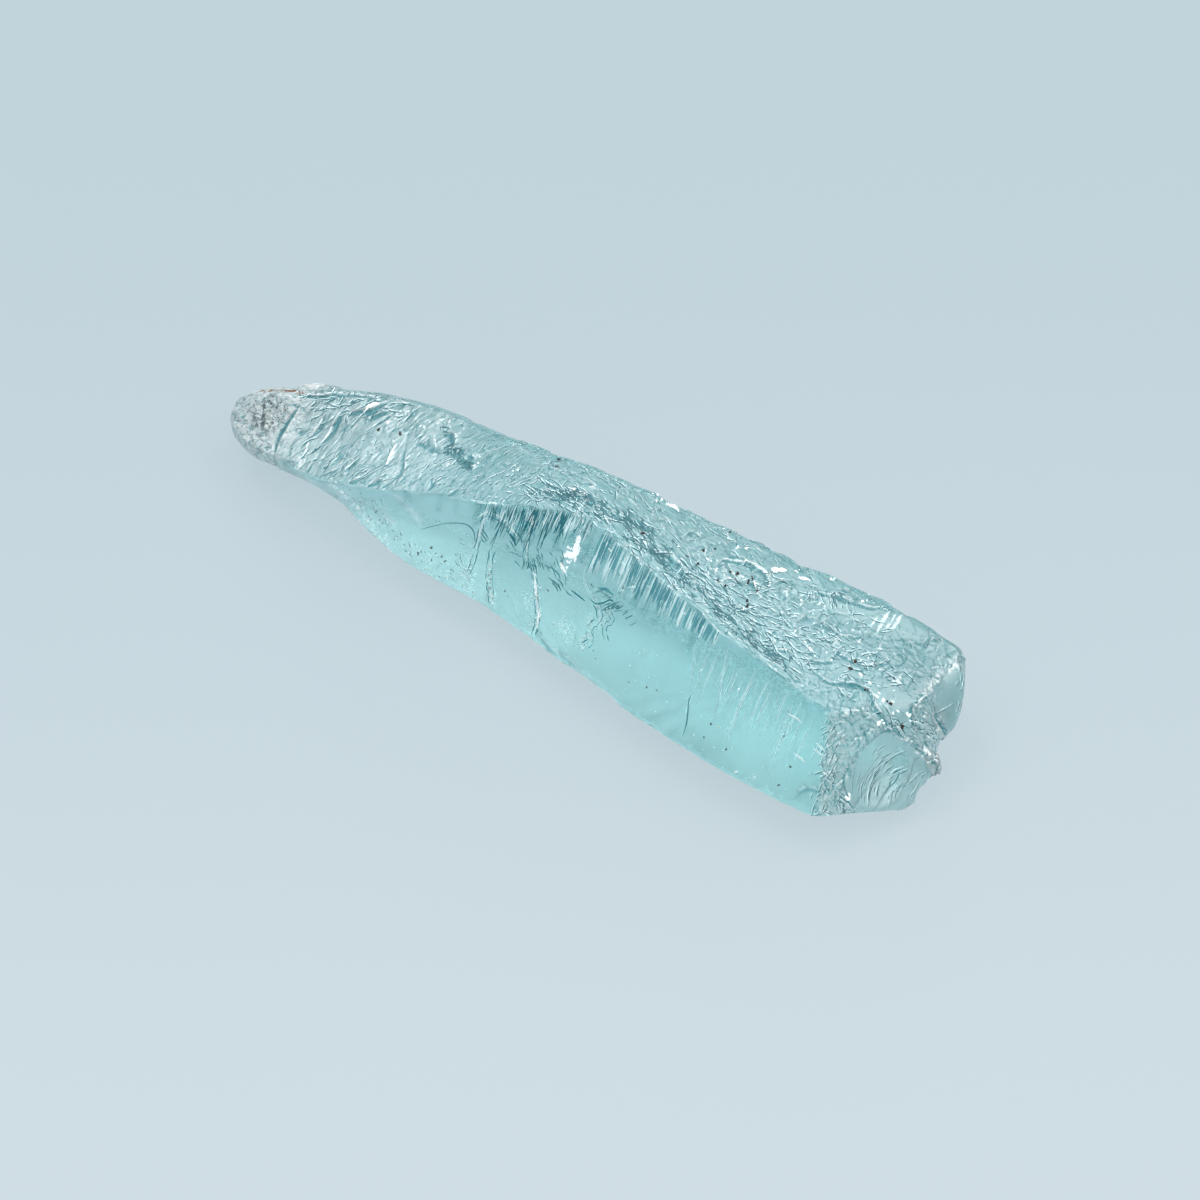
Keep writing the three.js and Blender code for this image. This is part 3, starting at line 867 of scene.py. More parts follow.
# ---- The crystal --------------------------------------------------------------------------------
@dataclass
class CrystalBody:
    """The clear crystal itself. Sizes are in millimetres."""

    rounding_voxel: float = 0.3
    voxel: float = 0.10
    rounding_factor: float = 0.6
    rounding_rounds: int = 45
    hollows: tuple[float, float] = (0.003, 0.016)
    humps: tuple[float, float] = (0.007, 0.024)
    hollow_shade: float = 0.7
    hump_glint: float = 0.3
    tints: tuple[tuple[str, str, float], ...] = (
        ("pale", "tip", 0.60), ("pale", "calm", 0.15), ("pale", "gouge", 0.14), ("dark", "ripple", 0.22),
        ("grit", "tip", 0.2),
    )
    end_pale: float = 0.50
    calm_end_pale: float = 0.05
    calm_end_dark: float = 0.12
    most_triangles: int = 195_000
    finish: BerylFinish = BerylFinish()

    def build(self) -> bpy.types.Object:
        """Builds the crystal from the CAD node and dresses it."""
        crystal = self.copy_of_cad()
        self.remesh(crystal, self.rounding_voxel)
        self.round_end(crystal)
        self.remesh(crystal, self.voxel)
        LOG.info("remeshed: %d faces", len(crystal.data.polygons))
        surface = Surface(crystal.data)
        shares = self.calm(surface, regions(surface))
        for name, share in shares.items():
            surface.store(name, share)
        surface.store_vector("place", surface.points)
        Relief(self.finish.material()).apply(crystal)
        surface = Surface(crystal.data)
        paints = {name: surface.read(name) for name in ("dark", "pale")}
        paints.update({name: np.zeros(len(surface.points)) for name in ("stain", "grit")})
        self.mark(surface, shares, paints)
        surface.points[:, 2] = np.maximum(surface.points[:, 2], 0.0)
        surface.write()
        self.shade_creases(Surface(crystal.data), shares, paints)
        self.thin(crystal, shares)
        crystal.data.transform(Matrix.Scale(METRES_PER_MM, 4))
        crystal.data.shade_smooth()
        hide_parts(NODE)
        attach(crystal, BODY)
        return crystal

    def copy_of_cad(self) -> bpy.types.Object:
        """Copies the CAD node's mesh with its shared points merged, in millimetres."""
        work = bmesh.new()
        work.from_mesh(bpy.data.objects[NODE].data)
        bmesh.ops.remove_doubles(work, verts=work.verts, dist=1e-7)
        mesh = bpy.data.meshes.new("crystal_body")
        work.to_mesh(mesh)
        work.free()
        mesh.transform(Matrix.Scale(1 / METRES_PER_MM, 4))
        mesh.materials.clear()
        crystal = bpy.data.objects.new("crystal_body", mesh)
        bpy.context.scene.collection.objects.link(crystal)
        return crystal

    def remesh(self, crystal: bpy.types.Object, voxel: float) -> None:
        """Covers the crystal with even faces of a size."""
        remesh = crystal.modifiers.new("Remesh", "REMESH")
        remesh.mode = "VOXEL"
        remesh.voxel_size = voxel
        bake_modifiers(crystal)

    @staticmethod
    def sides(shares: Shares) -> dict[Face, np.ndarray]:
        """Returns how much each point belongs to each of the faces that marks lie on."""
        top = 1 - shares["front"] - shares["base"] - shares["end"] * 0.7
        return {Face.TOP: np.clip(top, 0, 1), Face.FRONT: shares["front"], Face.END: shares["end"]}

    def calm(self, surface: Surface, shares: Shares) -> Shares:
        """Returns the regions with the calm facets taken out of the rough ones."""
        sides = self.sides(shares)
        loose = (1 - shares["base"]) * (1 - shares["front"])
        past = smooth_step(surface.points[:, 0], 21.0, 23.0)
        facing = smooth_step(surface.normals[:, 0], -0.2, 0.1)
        where = {Face.TOP: smooth_step(sides[Face.TOP], 0.2, 0.6), Face.END: past * loose * facing}
        calm = np.zeros(len(surface.points))
        for patch in PATCHES:
            calm = np.maximum(calm, patch.share(surface) * where[patch.face])
        for name in ("gouge", "ripple", "crest", "bevel", "chip", "end"):
            shares[name] = shares[name] * (1 - calm)
        return {**shares, "calm": calm, "outer": sides[Face.END]}

    def round_end(self, crystal: bpy.types.Object) -> None:
        """Rounds the corners of the broken end and the back's edges."""
        x, y, z = Surface(crystal.data).points.T
        off_base = smooth_step(z, 0.1, 0.8)
        share = smooth_step(x, 24.0, 27.0) * off_base * np.maximum(smooth_step(z + y, 6.0, 9.0), 0.25)
        share = np.maximum(share, smooth_step(x, 29.4, 30.2) * off_base * 0.9)
        share = np.maximum(share, smooth_step(y - line_at(BEVEL_LINE, x), -1.0, 2.0) * 0.8)
        weigh(crystal, "round", share)
        smooth = crystal.modifiers.new("Round", "SMOOTH")
        smooth.vertex_group = "round"
        smooth.factor, smooth.iterations = self.rounding_factor, self.rounding_rounds
        bake_modifiers(crystal)

    def mark(self, surface: Surface, shares: Shares, paints: Shares) -> None:
        """Cuts the single marks and adds their paint."""
        sides = self.sides({**shares, "end": shares["outer"]})
        for mark in MARKS:
            mark.cut(surface, paints, sides[mark.face])

    def shade_creases(self, surface: Surface, shares: Shares, paints: Shares) -> None:
        """Paints shade into what is hollow and glints onto what stands out, and keeps the paint."""
        sunk = ((relax(surface.mesh, surface.points, 3) - surface.points) * surface.normals).sum(axis=1)
        shown = 1 - shares["base"]
        paints["dark"] += smooth_step(sunk, *self.hollows) * shown * self.hollow_shade
        paints["pale"] += smooth_step(-sunk, *self.humps) * shown * self.hump_glint
        for paint, region, amount in self.tints:
            paints[paint] += shares[region] * amount
        calm, outer = shares["calm"], shares["outer"]
        paints["pale"] += outer * (self.end_pale * (1 - calm) + self.calm_end_pale * calm)
        paints["dark"] += outer * calm * self.calm_end_dark
        for name, paint in paints.items():
            surface.store(name, np.clip(paint, 0, 1))

    def thin(self, crystal: bpy.types.Object, shares: Shares) -> None:
        """Thins the mesh to its triangle limit, most where it is smooth."""
        crystal.data.calc_loop_triangles()
        count = len(crystal.data.loop_triangles)
        weigh(crystal, "thin", np.clip(shares["base"] + shares["back"] * 0.7 + shares["front"] * 0.5, 0, 1))
        thinner = crystal.modifiers.new("Thin", "DECIMATE")
        thinner.ratio = min(1.0, self.most_triangles / count)
        thinner.use_collapse_triangulate = True
        thinner.vertex_group, thinner.vertex_group_factor = "thin", 1.0
        bake_modifiers(crystal)
        LOG.info("%s: %d faces from %d triangles", crystal.name, len(crystal.data.polygons), count)


# How many different weights a vertex group gets.
WEIGHT_STEPS = 8


def weigh(thing: bpy.types.Object, name: str, shares: np.ndarray) -> None:
    """Keeps shares from 0 to 1 as a vertex group, in even steps."""
    group = thing.vertex_groups.new(name=name)
    steps = np.rint(shares * WEIGHT_STEPS).astype(int)
    for step in range(1, WEIGHT_STEPS + 1):
        group.add(np.flatnonzero(steps == step).tolist(), step / WEIGHT_STEPS, "REPLACE")


# ---- What is sealed in the crystal --------------------------------------------------------------
INWARD = {
    Face.TOP: Vector((0.0, 0.0, -1.0)),
    Face.FRONT: Vector((0.0, 0.83, -0.55)).normalized(),
    Face.END: Vector((-1.0, 0.0, 0.0)),
}


# How far from the crystal's middle the rays start that find its surface, in millimetres.
OUTSIDE = 50.0


class Skin:
    """The crystal's outer surface, for placing what lies just under it. Places are in millimetres."""

    def __init__(self, crystal: bpy.types.Object) -> None:
        """Reads the surface of the crystal, which is in metres."""
        self.tree = BVHTree.FromObject(crystal, bpy.context.evaluated_depsgraph_get())

    def under(self, face: Face, place: Sequence[float], depth: float) -> Optional[Vector]:
        """Returns the point at a depth under a place on a face, or nothing where the face isn't there."""
        first, second = face.value
        start, way = Vector((0.0, 0.0, 0.0)), Vector((0.0, 0.0, 0.0))
        start[first], start[second] = float(place[0]), float(place[1])
        third = 3 - first - second
        way[third] = {Face.TOP: -1.0, Face.FRONT: 1.0, Face.END: -1.0}[face]
        start[third] = -OUTSIDE * way[third]
        found = self.tree.ray_cast(start * METRES_PER_MM, way)[0]
        if found is None:
            return None
        ridge_line, ridge_height = (float(line_at(line, place[0])) for line in (RIDGE_LINE, RIDGE_HEIGHT))
        if face is Face.TOP and place[1] < ridge_line:
            return None
        if face is Face.FRONT and place[1] > ridge_height + 0.2:
            return None
        return found / METRES_PER_MM + INWARD[face] * depth


@dataclass(frozen=True)
class PlainFinish:
    """A finish of one colour, which may also glow with it; a glow is painted light, as none of these pieces
    is a lamp.
    """

    name: str
    colour: tuple[float, float, float]
    roughness: float
    glow: float = 0.0

    def material(self) -> bpy.types.Material:
        """Makes the material."""
        material = bpy.data.materials.new(self.name)
        material.use_nodes = True
        shader = material.node_tree.nodes["Principled BSDF"]
        shader.inputs["Base Color"].default_value = (*self.colour, 1.0)
        shader.inputs["Roughness"].default_value = self.roughness
        shader.inputs["Emission Color"].default_value = (*self.colour, 1.0)
        shader.inputs["Emission Strength"].default_value = self.glow
        return material


@dataclass(frozen=True)
class Thread:
    """A vein or a crack along a path under one face, in millimetres."""

    path: Sequence[tuple[float, float]]
    width: float
    reach: float = 0.08
    depth: float = 0.12
    wobble: float = 0.25
    face: Face = Face.FRONT
    taper: float = 0.5
    pieces: int = 6

    def add_to(self, work: bmesh.types.BMesh, skin: Skin, draw: np.random.Generator) -> None:
        """Adds the closed ribbon to a mesh, tapered at its ends and a little uneven."""
        spots = [skin.under(self.face, place, self.depth) for place in smooth_path(self.path, self.pieces)]
        if None in spots:
            return
        inward = INWARD[self.face]
        rings = []
        for index, spot in enumerate(spots):
            way = spots[min(index + 1, len(spots) - 1)] - spots[max(index - 1, 0)]
            side = way.cross(inward).normalized()
            share = math.sin(math.pi * (index + 0.25) / (len(spots) - 0.5)) ** self.taper
            half = side * self.width * 0.5 * share * (1 + self.wobble * draw.uniform(-1, 1))
            deep = inward * self.reach * max(share, 0.4)
            corners = (spot - half, spot + half, spot + half + deep, spot - half + deep)
            rings.append([work.verts.new(corner) for corner in corners])
        for ring, following in zip(rings, rings[1:]):
            for corner in range(4):
                beyond = (corner + 1) % 4
                work.faces.new((ring[corner], ring[beyond], following[beyond], following[corner]))
        work.faces.new(rings[0][::-1])
        work.faces.new(rings[-1])


@dataclass(frozen=True)
class Strokes:
    """Short bowed creases strewn along a path on one face, in millimetres.

    Two pieces that share strokes but for their shift, width and depth get creases side by side.
    """

    path: Sequence[tuple[float, float]]
    count: int
    spread: tuple[float, float]
    heading: float
    turn: float
    lengths: tuple[float, float]
    widths: tuple[float, float]
    seed: int
    bow: float = 0.2
    shift: float = 0.0
    reach: float = 0.06
    depth: float = -0.01
    face: Face = Face.TOP

    def threads(self) -> Iterable[Thread]:
        """Yields a thread for each crease."""
        draw = np.random.default_rng(self.seed)
        path = smooth_path(self.path, 16)
        for _ in range(self.count):
            middle = path[draw.integers(0, len(path))] + draw.normal(0, 1, 2) * self.spread
            way = math.radians(self.heading + draw.normal(0, self.turn))
            along = np.array((math.cos(way), math.sin(way)))
            across = np.array((-along[1], along[0]))
            half = 0.5 * self.lengths[0] + 0.5 * (self.lengths[1] - self.lengths[0]) * draw.uniform() ** 2
            bow, jog = self.bow * half * draw.normal(0, 1, 2)
            width = draw.uniform(*self.widths)
            points = []
            for share in (-1.0, -0.4, 0.3, 1.0):
                off = bow * (1 - share**2) + jog * share + self.shift
                points.append(tuple(middle + along * half * share + across * off))
            yield Thread(points, width, self.reach, self.depth, 0.35, self.face, taper=0.9, pieces=4)


@dataclass(frozen=True)
class Fringe:
    """Growth lines that hang from the ridge down the front face, in millimetres."""

    start: float
    stop: float
    count: int
    first_length: float
    last_length: float
    widths: tuple[float, float]
    seed: int
    turn: float = 2.0
    drop: float = 0.15
    wander: float = 0.1
    depth: float = 0.05

    def threads(self) -> Iterable[Thread]:
        """Yields a thread for each line, the lengths changing from the first to the last along the ridge."""
        draw = np.random.default_rng(self.seed)
        for x in np.sort(draw.uniform(self.start, self.stop, self.count)):
            share = (x - self.start) / (self.stop - self.start)
            length = (self.first_length * (1 - share) + self.last_length * share) * draw.uniform(0.35, 1.0)
            top = float(line_at(RIDGE_HEIGHT, x)) - self.drop - self.wander * abs(draw.normal())
            lean = math.radians(87.0 + draw.normal(0, self.turn))
            way = np.array((-math.cos(lean), -math.sin(lean)))
            bow = np.array((draw.normal(0, 0.02), 0.0)) * length
            points = [
                tuple(np.array((x, top)) + way * length * part + bow * math.sin(math.pi * part))
                for part in (0.0, 0.35, 0.7, 1.0)
            ]
            yield Thread(points, draw.uniform(*self.widths), 0.04, self.depth, 0.2, pieces=4)


@dataclass(frozen=True)
class Cluster:
    """Grains strewn along a path under one face, in millimetres."""

    path: Sequence[tuple[float, float]]
    count: int
    spread: float
    smallest: float
    largest: float
    shallow: float = 0.05
    deep: float = 0.25
    face: Face = Face.FRONT
    exact: bool = False

    def places(self, skin: Skin, draw: np.random.Generator) -> list[tuple[Vector, float]]:
        """Returns the grains' places and sizes."""
        path = np.array(self.path, dtype=float) if self.exact else smooth_path(self.path, 12)
        chosen = []
        for _ in range(self.count):
            starts = path if self.exact else path[draw.integers(0, len(path))][None]
            for start in starts:
                place = start + draw.normal(0, self.spread, 2)
                spot = skin.under(self.face, place, draw.uniform(self.shallow, self.deep))
                if spot is not None:
                    chosen.append((spot, draw.uniform(self.smallest, self.largest)))
        return chosen


class Scatter:
    """Uneven grains at given points as a Geometry Nodes tree, in millimetres."""

    unevenness = 0.12

    def __init__(self) -> None:
        """Builds the tree."""
        self.tree = bpy.data.node_groups.new("Scatter", "GeometryNodeTree")
        add = self.tree.interface.new_socket
        add("Geometry", in_out="INPUT", socket_type="NodeSocketGeometry")
        self.names = {
            name: add(name, in_out="INPUT", socket_type=kind).identifier
            for name, kind in (("Thickness", "NodeSocketFloat"), ("Unevenness", "NodeSocketFloat"),
                               ("Seed", "NodeSocketInt"), ("Material", "NodeSocketMaterial"))
        }
        add("Geometry", in_out="OUTPUT", socket_type="NodeSocketGeometry")
        graph = Graph(self.tree)
        outputs = self.tree.nodes.new("NodeGroupInput").outputs
        given = {socket.name: Signal(graph, socket) for socket in outputs if socket.name}
        size = graph.attribute("size")
        grain = graph.node("GeometryNodeMeshIcoSphere", inputs={"Radius": 0.5, "Subdivisions": 2})
        inputs = {"Min": (0.0, 0.0, 0.0), "Max": (math.tau, math.tau, math.tau), "Seed": given["Seed"]}
        turn = graph.node("FunctionNodeRandomValue", {"data_type": "FLOAT_VECTOR"}, inputs)
        inputs = {0: size, 1: size * 0.6, 2: size * given["Thickness"]}
        stretch = graph.node("ShaderNodeCombineXYZ", inputs=inputs)
        points = graph.node("GeometryNodeMeshToPoints", inputs={"Mesh": given["Geometry"]})
        inputs = {"Points": points, "Instance": grain, "Rotation": turn, "Scale": stretch}
        grains = graph.node("GeometryNodeInstanceOnPoints", inputs=inputs)
        grains = graph.node("GeometryNodeRealizeInstances", inputs={0: grains})
        place = graph.node("GeometryNodeInputPosition")
        colour = graph.node("ShaderNodeTexNoise", inputs={"Vector": place, "Scale": 9.0}, output="Color")
        inputs = {0: Patterns(graph).vector("SUBTRACT", colour, HALF), "Scale": given["Unevenness"]}
        shift = graph.node("ShaderNodeVectorMath", {"operation": "SCALE"}, inputs)
        grains = graph.node("GeometryNodeSetPosition", inputs={"Geometry": grains, "Offset": shift})
        inputs = {"Geometry": grains, "Material": given["Material"]}
        grains = graph.node("GeometryNodeSetMaterial", inputs=inputs)
        out = self.tree.nodes.new("NodeGroupOutput")
        graph.feed(out.inputs["Geometry"], grains)

    def apply(
        self, thing: bpy.types.Object, material: bpy.types.Material, thickness: float, seed: int
    ) -> None:
        """Turns an object's points into grains and keeps them as its mesh."""
        modifier = thing.modifiers.new("Scatter", "NODES")
        modifier.node_group = self.tree
        values = {
            "Thickness": thickness, "Unevenness": self.unevenness, "Seed": seed, "Material": material,
        }
        for name, value in values.items():
            modifier[self.names[name]] = value
        bake_modifiers(thing)


@dataclass(frozen=True)
class Sealed:
    """Threads or clusters of one finish that make one piece."""

    name: str
    finish: PlainFinish
    seed: int
    threads: tuple[Thread, ...] = ()
    strokes: tuple["Strokes | Fringe", ...] = ()
    clusters: tuple[Cluster, ...] = ()
    thickness: float = 0.5

    def build(self, skin: Skin, scatter: Scatter) -> bpy.types.Object:
        """Builds the piece and puts it in the crystal."""
        draw = np.random.default_rng(self.seed)
        mesh = bpy.data.meshes.new(self.name)
        piece = bpy.data.objects.new(self.name, mesh)
        bpy.context.scene.collection.objects.link(piece)
        material = self.finish.material()
        if self.threads or self.strokes:
            work = bmesh.new()
            strewn = (thread for strokes in self.strokes for thread in strokes.threads())
            for thread in (*self.threads, *strewn):
                thread.add_to(work, skin, draw)
            bmesh.ops.recalc_face_normals(work, faces=work.faces)
            work.to_mesh(mesh)
            work.free()
            mesh.materials.append(material)
        else:
            grains = [grain for cluster in self.clusters for grain in cluster.places(skin, draw)]
            mesh.from_pydata([tuple(spot) for spot, _ in grains], [], [])
            sizes = mesh.attributes.new("size", "FLOAT", "POINT")
            sizes.data.foreach_set("value", [size for _, size in grains])
            scatter.apply(piece, material, self.thickness, self.seed)
        piece.data.transform(Matrix.Scale(METRES_PER_MM, 4))
        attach(piece, BODY)
        LOG.info("%s: %d faces", self.name, len(piece.data.polygons))
        return piece


# The white, pale, slate, teal and crease pieces glow with their own colour: painted light, since none of them
# is a lamp.
WHITE = PlainFinish("white_vein_and_glint", (0.93, 0.97, 0.97), 0.45, 0.45)
PALE = PlainFinish("pale_line_and_highlight", (0.72, 0.89, 0.91), 0.5, 0.34)
SLATE = PlainFinish("growth_bar", (0.12, 0.36, 0.41), 0.5, 0.40)
TEAL = PlainFinish("dark_crack", (0.02, 0.19, 0.23), 0.5, 0.35)
CREASE_SHADE = PlainFinish("painted_crease_shade", (0.04, 0.15, 0.18), 0.6, 0.10)
BROWN = PlainFinish("brown_speck", (0.035, 0.018, 0.012), 0.5)
RUST = PlainFinish("iron_stain", (0.22, 0.095, 0.04), 0.8)
GRIT = PlainFinish("tip_grit", (0.045, 0.05, 0.05), 0.6)

# Creases over the broken faces, each a dark stroke of painted shade with a pale one of painted highlight
# beside it. A row is a path, a count, a spread, a heading, a turn, lengths, widths, a seed and a bow.
CREASES = (
    *alike(Strokes, (
        (((-23.5, -1.2), (-20, -2.4), (-16, -2.2)), 60, (0.8, 0.6), 66, 10, (0.3, 1.6), (0.04, 0.13), 21),
        (((-25, 1.8), (-22, 2.6), (-18, 3.4)), 46, (0.7, 0.6), 48, 18, (0.4, 1.9), (0.05, 0.16), 27),
        (((-24.5, 0.8), (-20, 0.4), (-14, 0.2)), 46, (1.2, 1.3), 70, 18, (0.2, 1), (0.03, 0.09), 28),
        (((-14.5, 0.6), (-8, 0.8), (-3, 1.6)), 150, (0.9, 1.5), 64, 12, (0.2, 1), (0.03, 0.08), 22),
        (((-4.5, 1.2), (1, 1.8), (8, 0.8), (14, -0.6), (21, -1.6)), 280, (0.5, 0.9), -11, 13, (0.3, 2),
          (0.04, 0.14), 23),
        (((0, 4), (8, 5), (18, 5.8)), 60, (0.8, 0.8), -15, 16, (0.3, 1.3), (0.03, 0.08), 24),
        (((13, 1.4), (19, 1.2), (26, 1.2)), 220, (1.2, 1.8), 14, 24, (0.3, 1.6), (0.04, 0.12), 25),
        (((17.4, 4), (19.4, 4.7), (21.2, 5.1)), 30, (0.25, 0.25), 122, 8, (0.4, 1.3), (0.03, 0.08), 29),
    )),
    *alike(Strokes, (
        (((-6.3, 8.8), (-6.2, 5), (-6.6, 1.6)), 60, (0.35, 0.6), 80, 30, (0.2, 1), (0.04, 0.11), 26),
        (((-1, 8), (0.6, 6.4), (1.6, 4.6), (1.6, 2.6)), 60, (0.35, 0.5), 110, 30, (0.2, 1), (0.04, 0.11), 51),
        (((-1.6, 3.8), (-3, 3.1), (-4.6, 2.7)), 46, (0.7, 0.9), 36, 6, (0.5, 2.4), (0.02, 0.05), 52, 0.03),
        (((5.8, 7.2), (4.8, 5.6), (3.4, 3.6)), 34, (0.5, 0.5), 22, 8, (0.4, 1.8), (0.02, 0.05), 57, 0.1),
    ), face=Face.END),
    *alike(Strokes, (
        (((-18, 6.4), (-14, 5), (-10, 4.6)), 24, (0.8, 0.7), -52, 14, (0.2, 1), (0.015, 0.04), 54, 0.3),
        (((-10, 0.8), (-4, 0.7), (2, 0.8), (9, 1)), 60, (0.6, 0.3), 4, 12, (0.3, 1.8), (0.03, 0.08), 55),
        (((-8.6, 6.4), (-8, 5.4), (-7.4, 4.4)), 16, (0.3, 0.5), -30, 16, (0.2, 0.8), (0.02, 0.05), 56, 0.3),
        (((24.3, 9.5), (24.9, 7), (25.6, 4.5), (26, 2)), 46, (0.3, 0.5), 78, 26, (0.2, 0.9), (0.04, 0.1), 53),
    ), face=Face.FRONT),
)

# Dark teal clumps of painted shade on the gouged part and along the crest.
CRUMPLES = (
    *alike(Strokes, (
        (((-14.2, 3.3), (-12.8, 2.4), (-11.8, 1.8)), 26, (0.3, 0.3), 20, 50, (0.2, 0.8), (0.05, 0.16), 41),
        (((-12.6, 1.8), (-11.2, 1.4), (-9.9, 1)), 34, (0.35, 0.3), 10, 50, (0.2, 0.8), (0.05, 0.18), 42),
        (((-4, 1.2), (-1.2, 1.8), (1.6, 1.9), (4.6, 2.2)), 70, (0.5, 0.35), -8, 22, (0.4, 1.6), (0.06, 0.26),
          43),
        (((4, 1.6), (9, 0.2), (14, -1.2), (19, -2.2)), 110, (0.5, 0.5), -18, 14, (0.4, 2.2), (0.06, 0.2), 44),
    )),
)


def beside(strokes: Strokes, shift: float) -> Strokes:
    """Returns the same creases moved sideways and a little narrower."""
    low, high = strokes.widths
    return replace(strokes, shift=shift, widths=(low * 0.5, high * 0.5), depth=strokes.depth + 0.005)


# Dark growth lines that hang from the ridge, in which the fans are short slanting cracks. A fringe's row is
# its start and stop along X, a count, its first and last length, widths, a seed, a turn, a drop and a wander.
COMBS = (
    Fringe(-6.8, 1.2, 95, 1.5, 1.3, (0.03, 0.08), 31, 7, 0.12, 0.15),
    Fringe(-5.6, -0.6, 50, 3.2, 2.6, (0.03, 0.1), 34, 5, 0.15, 0.3),
)

FANS = (
    *alike(Strokes, (
        (((-4.6, 8.2), (-2.4, 8), (0.6, 8.2)), 20, (0.5, 0.4), -38, 12, (0.4, 1.2), (0.03, 0.07),
          33, 0.1, 0, 0.06, 0.08, Face.FRONT),
        (((-2.8, 7.4), (-1.4, 7.2), (0.4, 7)), 26, (0.3, 0.25), -45, 8, (0.3, 0.9), (0.03, 0.08),
          35, 0.1, 0, 0.06, 0.08, Face.FRONT),
        (((4, 8.2), (5.4, 8), (7, 7.9)), 24, (0.3, 0.2), 40, 6, (0.6, 1.6), (0.03, 0.06),
          36, 0, 0, 0.06, 0.08, Face.FRONT),
    )),
)

# Pale lines between the dark ones, the bars to the right of them, and faint streaks past those.
LIGHT_COMBS = Fringe(-6.8, 1.2, 42, 1.9, 1.7, (0.03, 0.09), 39, 6.0, 0.12, 0.3, 0.03)
BARS = Fringe(2.2, 14.0, 95, 3.0, 1.0, (0.05, 0.20), 32, 1.0, 0.12, 0.1)
LIGHT_BARS = Fringe(2.2, 14.0, 90, 3.1, 1.1, (0.04, 0.16), 37, 1.0, 0.12, 0.1, 0.06)
STREAKS = Fringe(12.8, 25.0, 34, 5.0, 4.2, (0.015, 0.045), 38, 1.0, 0.5, 0.7, 0.08)

# The edges of the veins that run up through the front face, as the veins' paths and their edges' distances.
VEINS = (
    (((-6.9, 10.4), (-7, 8.6), (-6.9, 6.6), (-7, 4.6)), 0.17),
    (((-3.5, 11), (-3.4, 9.4), (-3, 7.6), (-2.7, 6.8)), 0.2),
    (((-2.4, 7.6), (-1.5, 6.1), (-0.9, 5), (-0.4, 4.2), (-0.3, 3.3)), 0.17),
    (((-5.7, 7), (-5.5, 5.7), (-5.1, 4.6), (-4.5, 3.5)), 0.24),
    (((3.6, 7.5), (4.4, 6.8), (3.9, 5.9), (4.3, 5.2), (3.7, 4.5)), 0.24),
    (((4.6, 7.6), (5.4, 7.2), (5, 6.5), (5.6, 5.8)), 0.16),
)


def edges_of(path: Sequence[tuple[float, float]], gap: float, width: float) -> list[Thread]:
    """Returns broken thin cracks along both sides of a vein.

    Args:
        path: The vein's path.
        gap: How far from it the cracks lie.
        width: How wide they are.

    Returns:
        The cracks.
    """
    draw = np.random.default_rng(int(1000 * abs(path[0][0])))
    spots = smooth_path(path, 5)
    ways = np.gradient(spots, axis=0)
    across = np.stack([-ways[:, 1], ways[:, 0]], axis=1) / np.linalg.norm(ways, axis=1)[:, None]
    cracks = []
    for side in (-1.0, 1.0):
        start = 0
        while start < len(spots) - 2:
            stop = min(start + int(draw.integers(3, 6)), len(spots))
            shift = side * gap * draw.uniform(0.6, 1.3, stop - start)[:, None]
            piece = spots[start:stop] + across[start:stop] * shift
            wide = width * draw.uniform(0.6, 1.5)
            cracks.append(Thread([tuple(point) for point in piece], wide, 0.05, 0.08, 0.4))
            start = stop - 1 + int(draw.integers(0, 2))
    return cracks


# Pale veins and lines on the front face, and soft bars on the top near the end. A row is a path, a width, a
# reach, a depth and a wobble.
PALE_THREADS = (
    *alike(Thread, (
        (((-7.8, 10), (-7, 10.2), (-6.2, 10.5)), 0.08),
        (((-3.6, 11.2), (-3.3, 10.1), (-2.8, 8.6), (-2.3, 7.2)), 0.13),
        (((1.8, 9), (2, 8.2), (2.7, 7.8), (3.4, 7.6), (3.9, 7.4)), 0.06),
        (((-8.1, 4.8), (-7.4, 4.8), (-6.7, 4.5)), 0.07),
        (((-7.9, 4.3), (-7.3, 4.3), (-6.7, 4)), 0.09),
        (((-7.6, 3.7), (-7.1, 3.6), (-6.6, 3.4)), 0.11),
        (((12.4, 9.1), (12.9, 7.8), (13.3, 6.5)), 0.04),
        (((14.9, 10.4), (15.3, 8.5), (15.8, 6.7)), 0.05),
        (((15.3, 10.9), (15.7, 9.4), (16.1, 7.9)), 0.04),
        (((8.4, 6.4), (8.6, 6.8), (9, 6.9)), 0.06),
    )),
    *alike(Thread, (
        (((23.4, 4.2), (23.3, 5.3), (23.2, 6.6)), 0.26),
        (((23.8, 4.4), (23.8, 5.5), (23.7, 6.6)), 0.2),
        (((24.2, 4.9), (24.2, 5.7), (24.1, 6.8)), 0.26),
        (((22.8, 4.3), (22.8, 4.8), (22.8, 5.3)), 0.18),
    ), depth=0.02, face=Face.TOP),
)
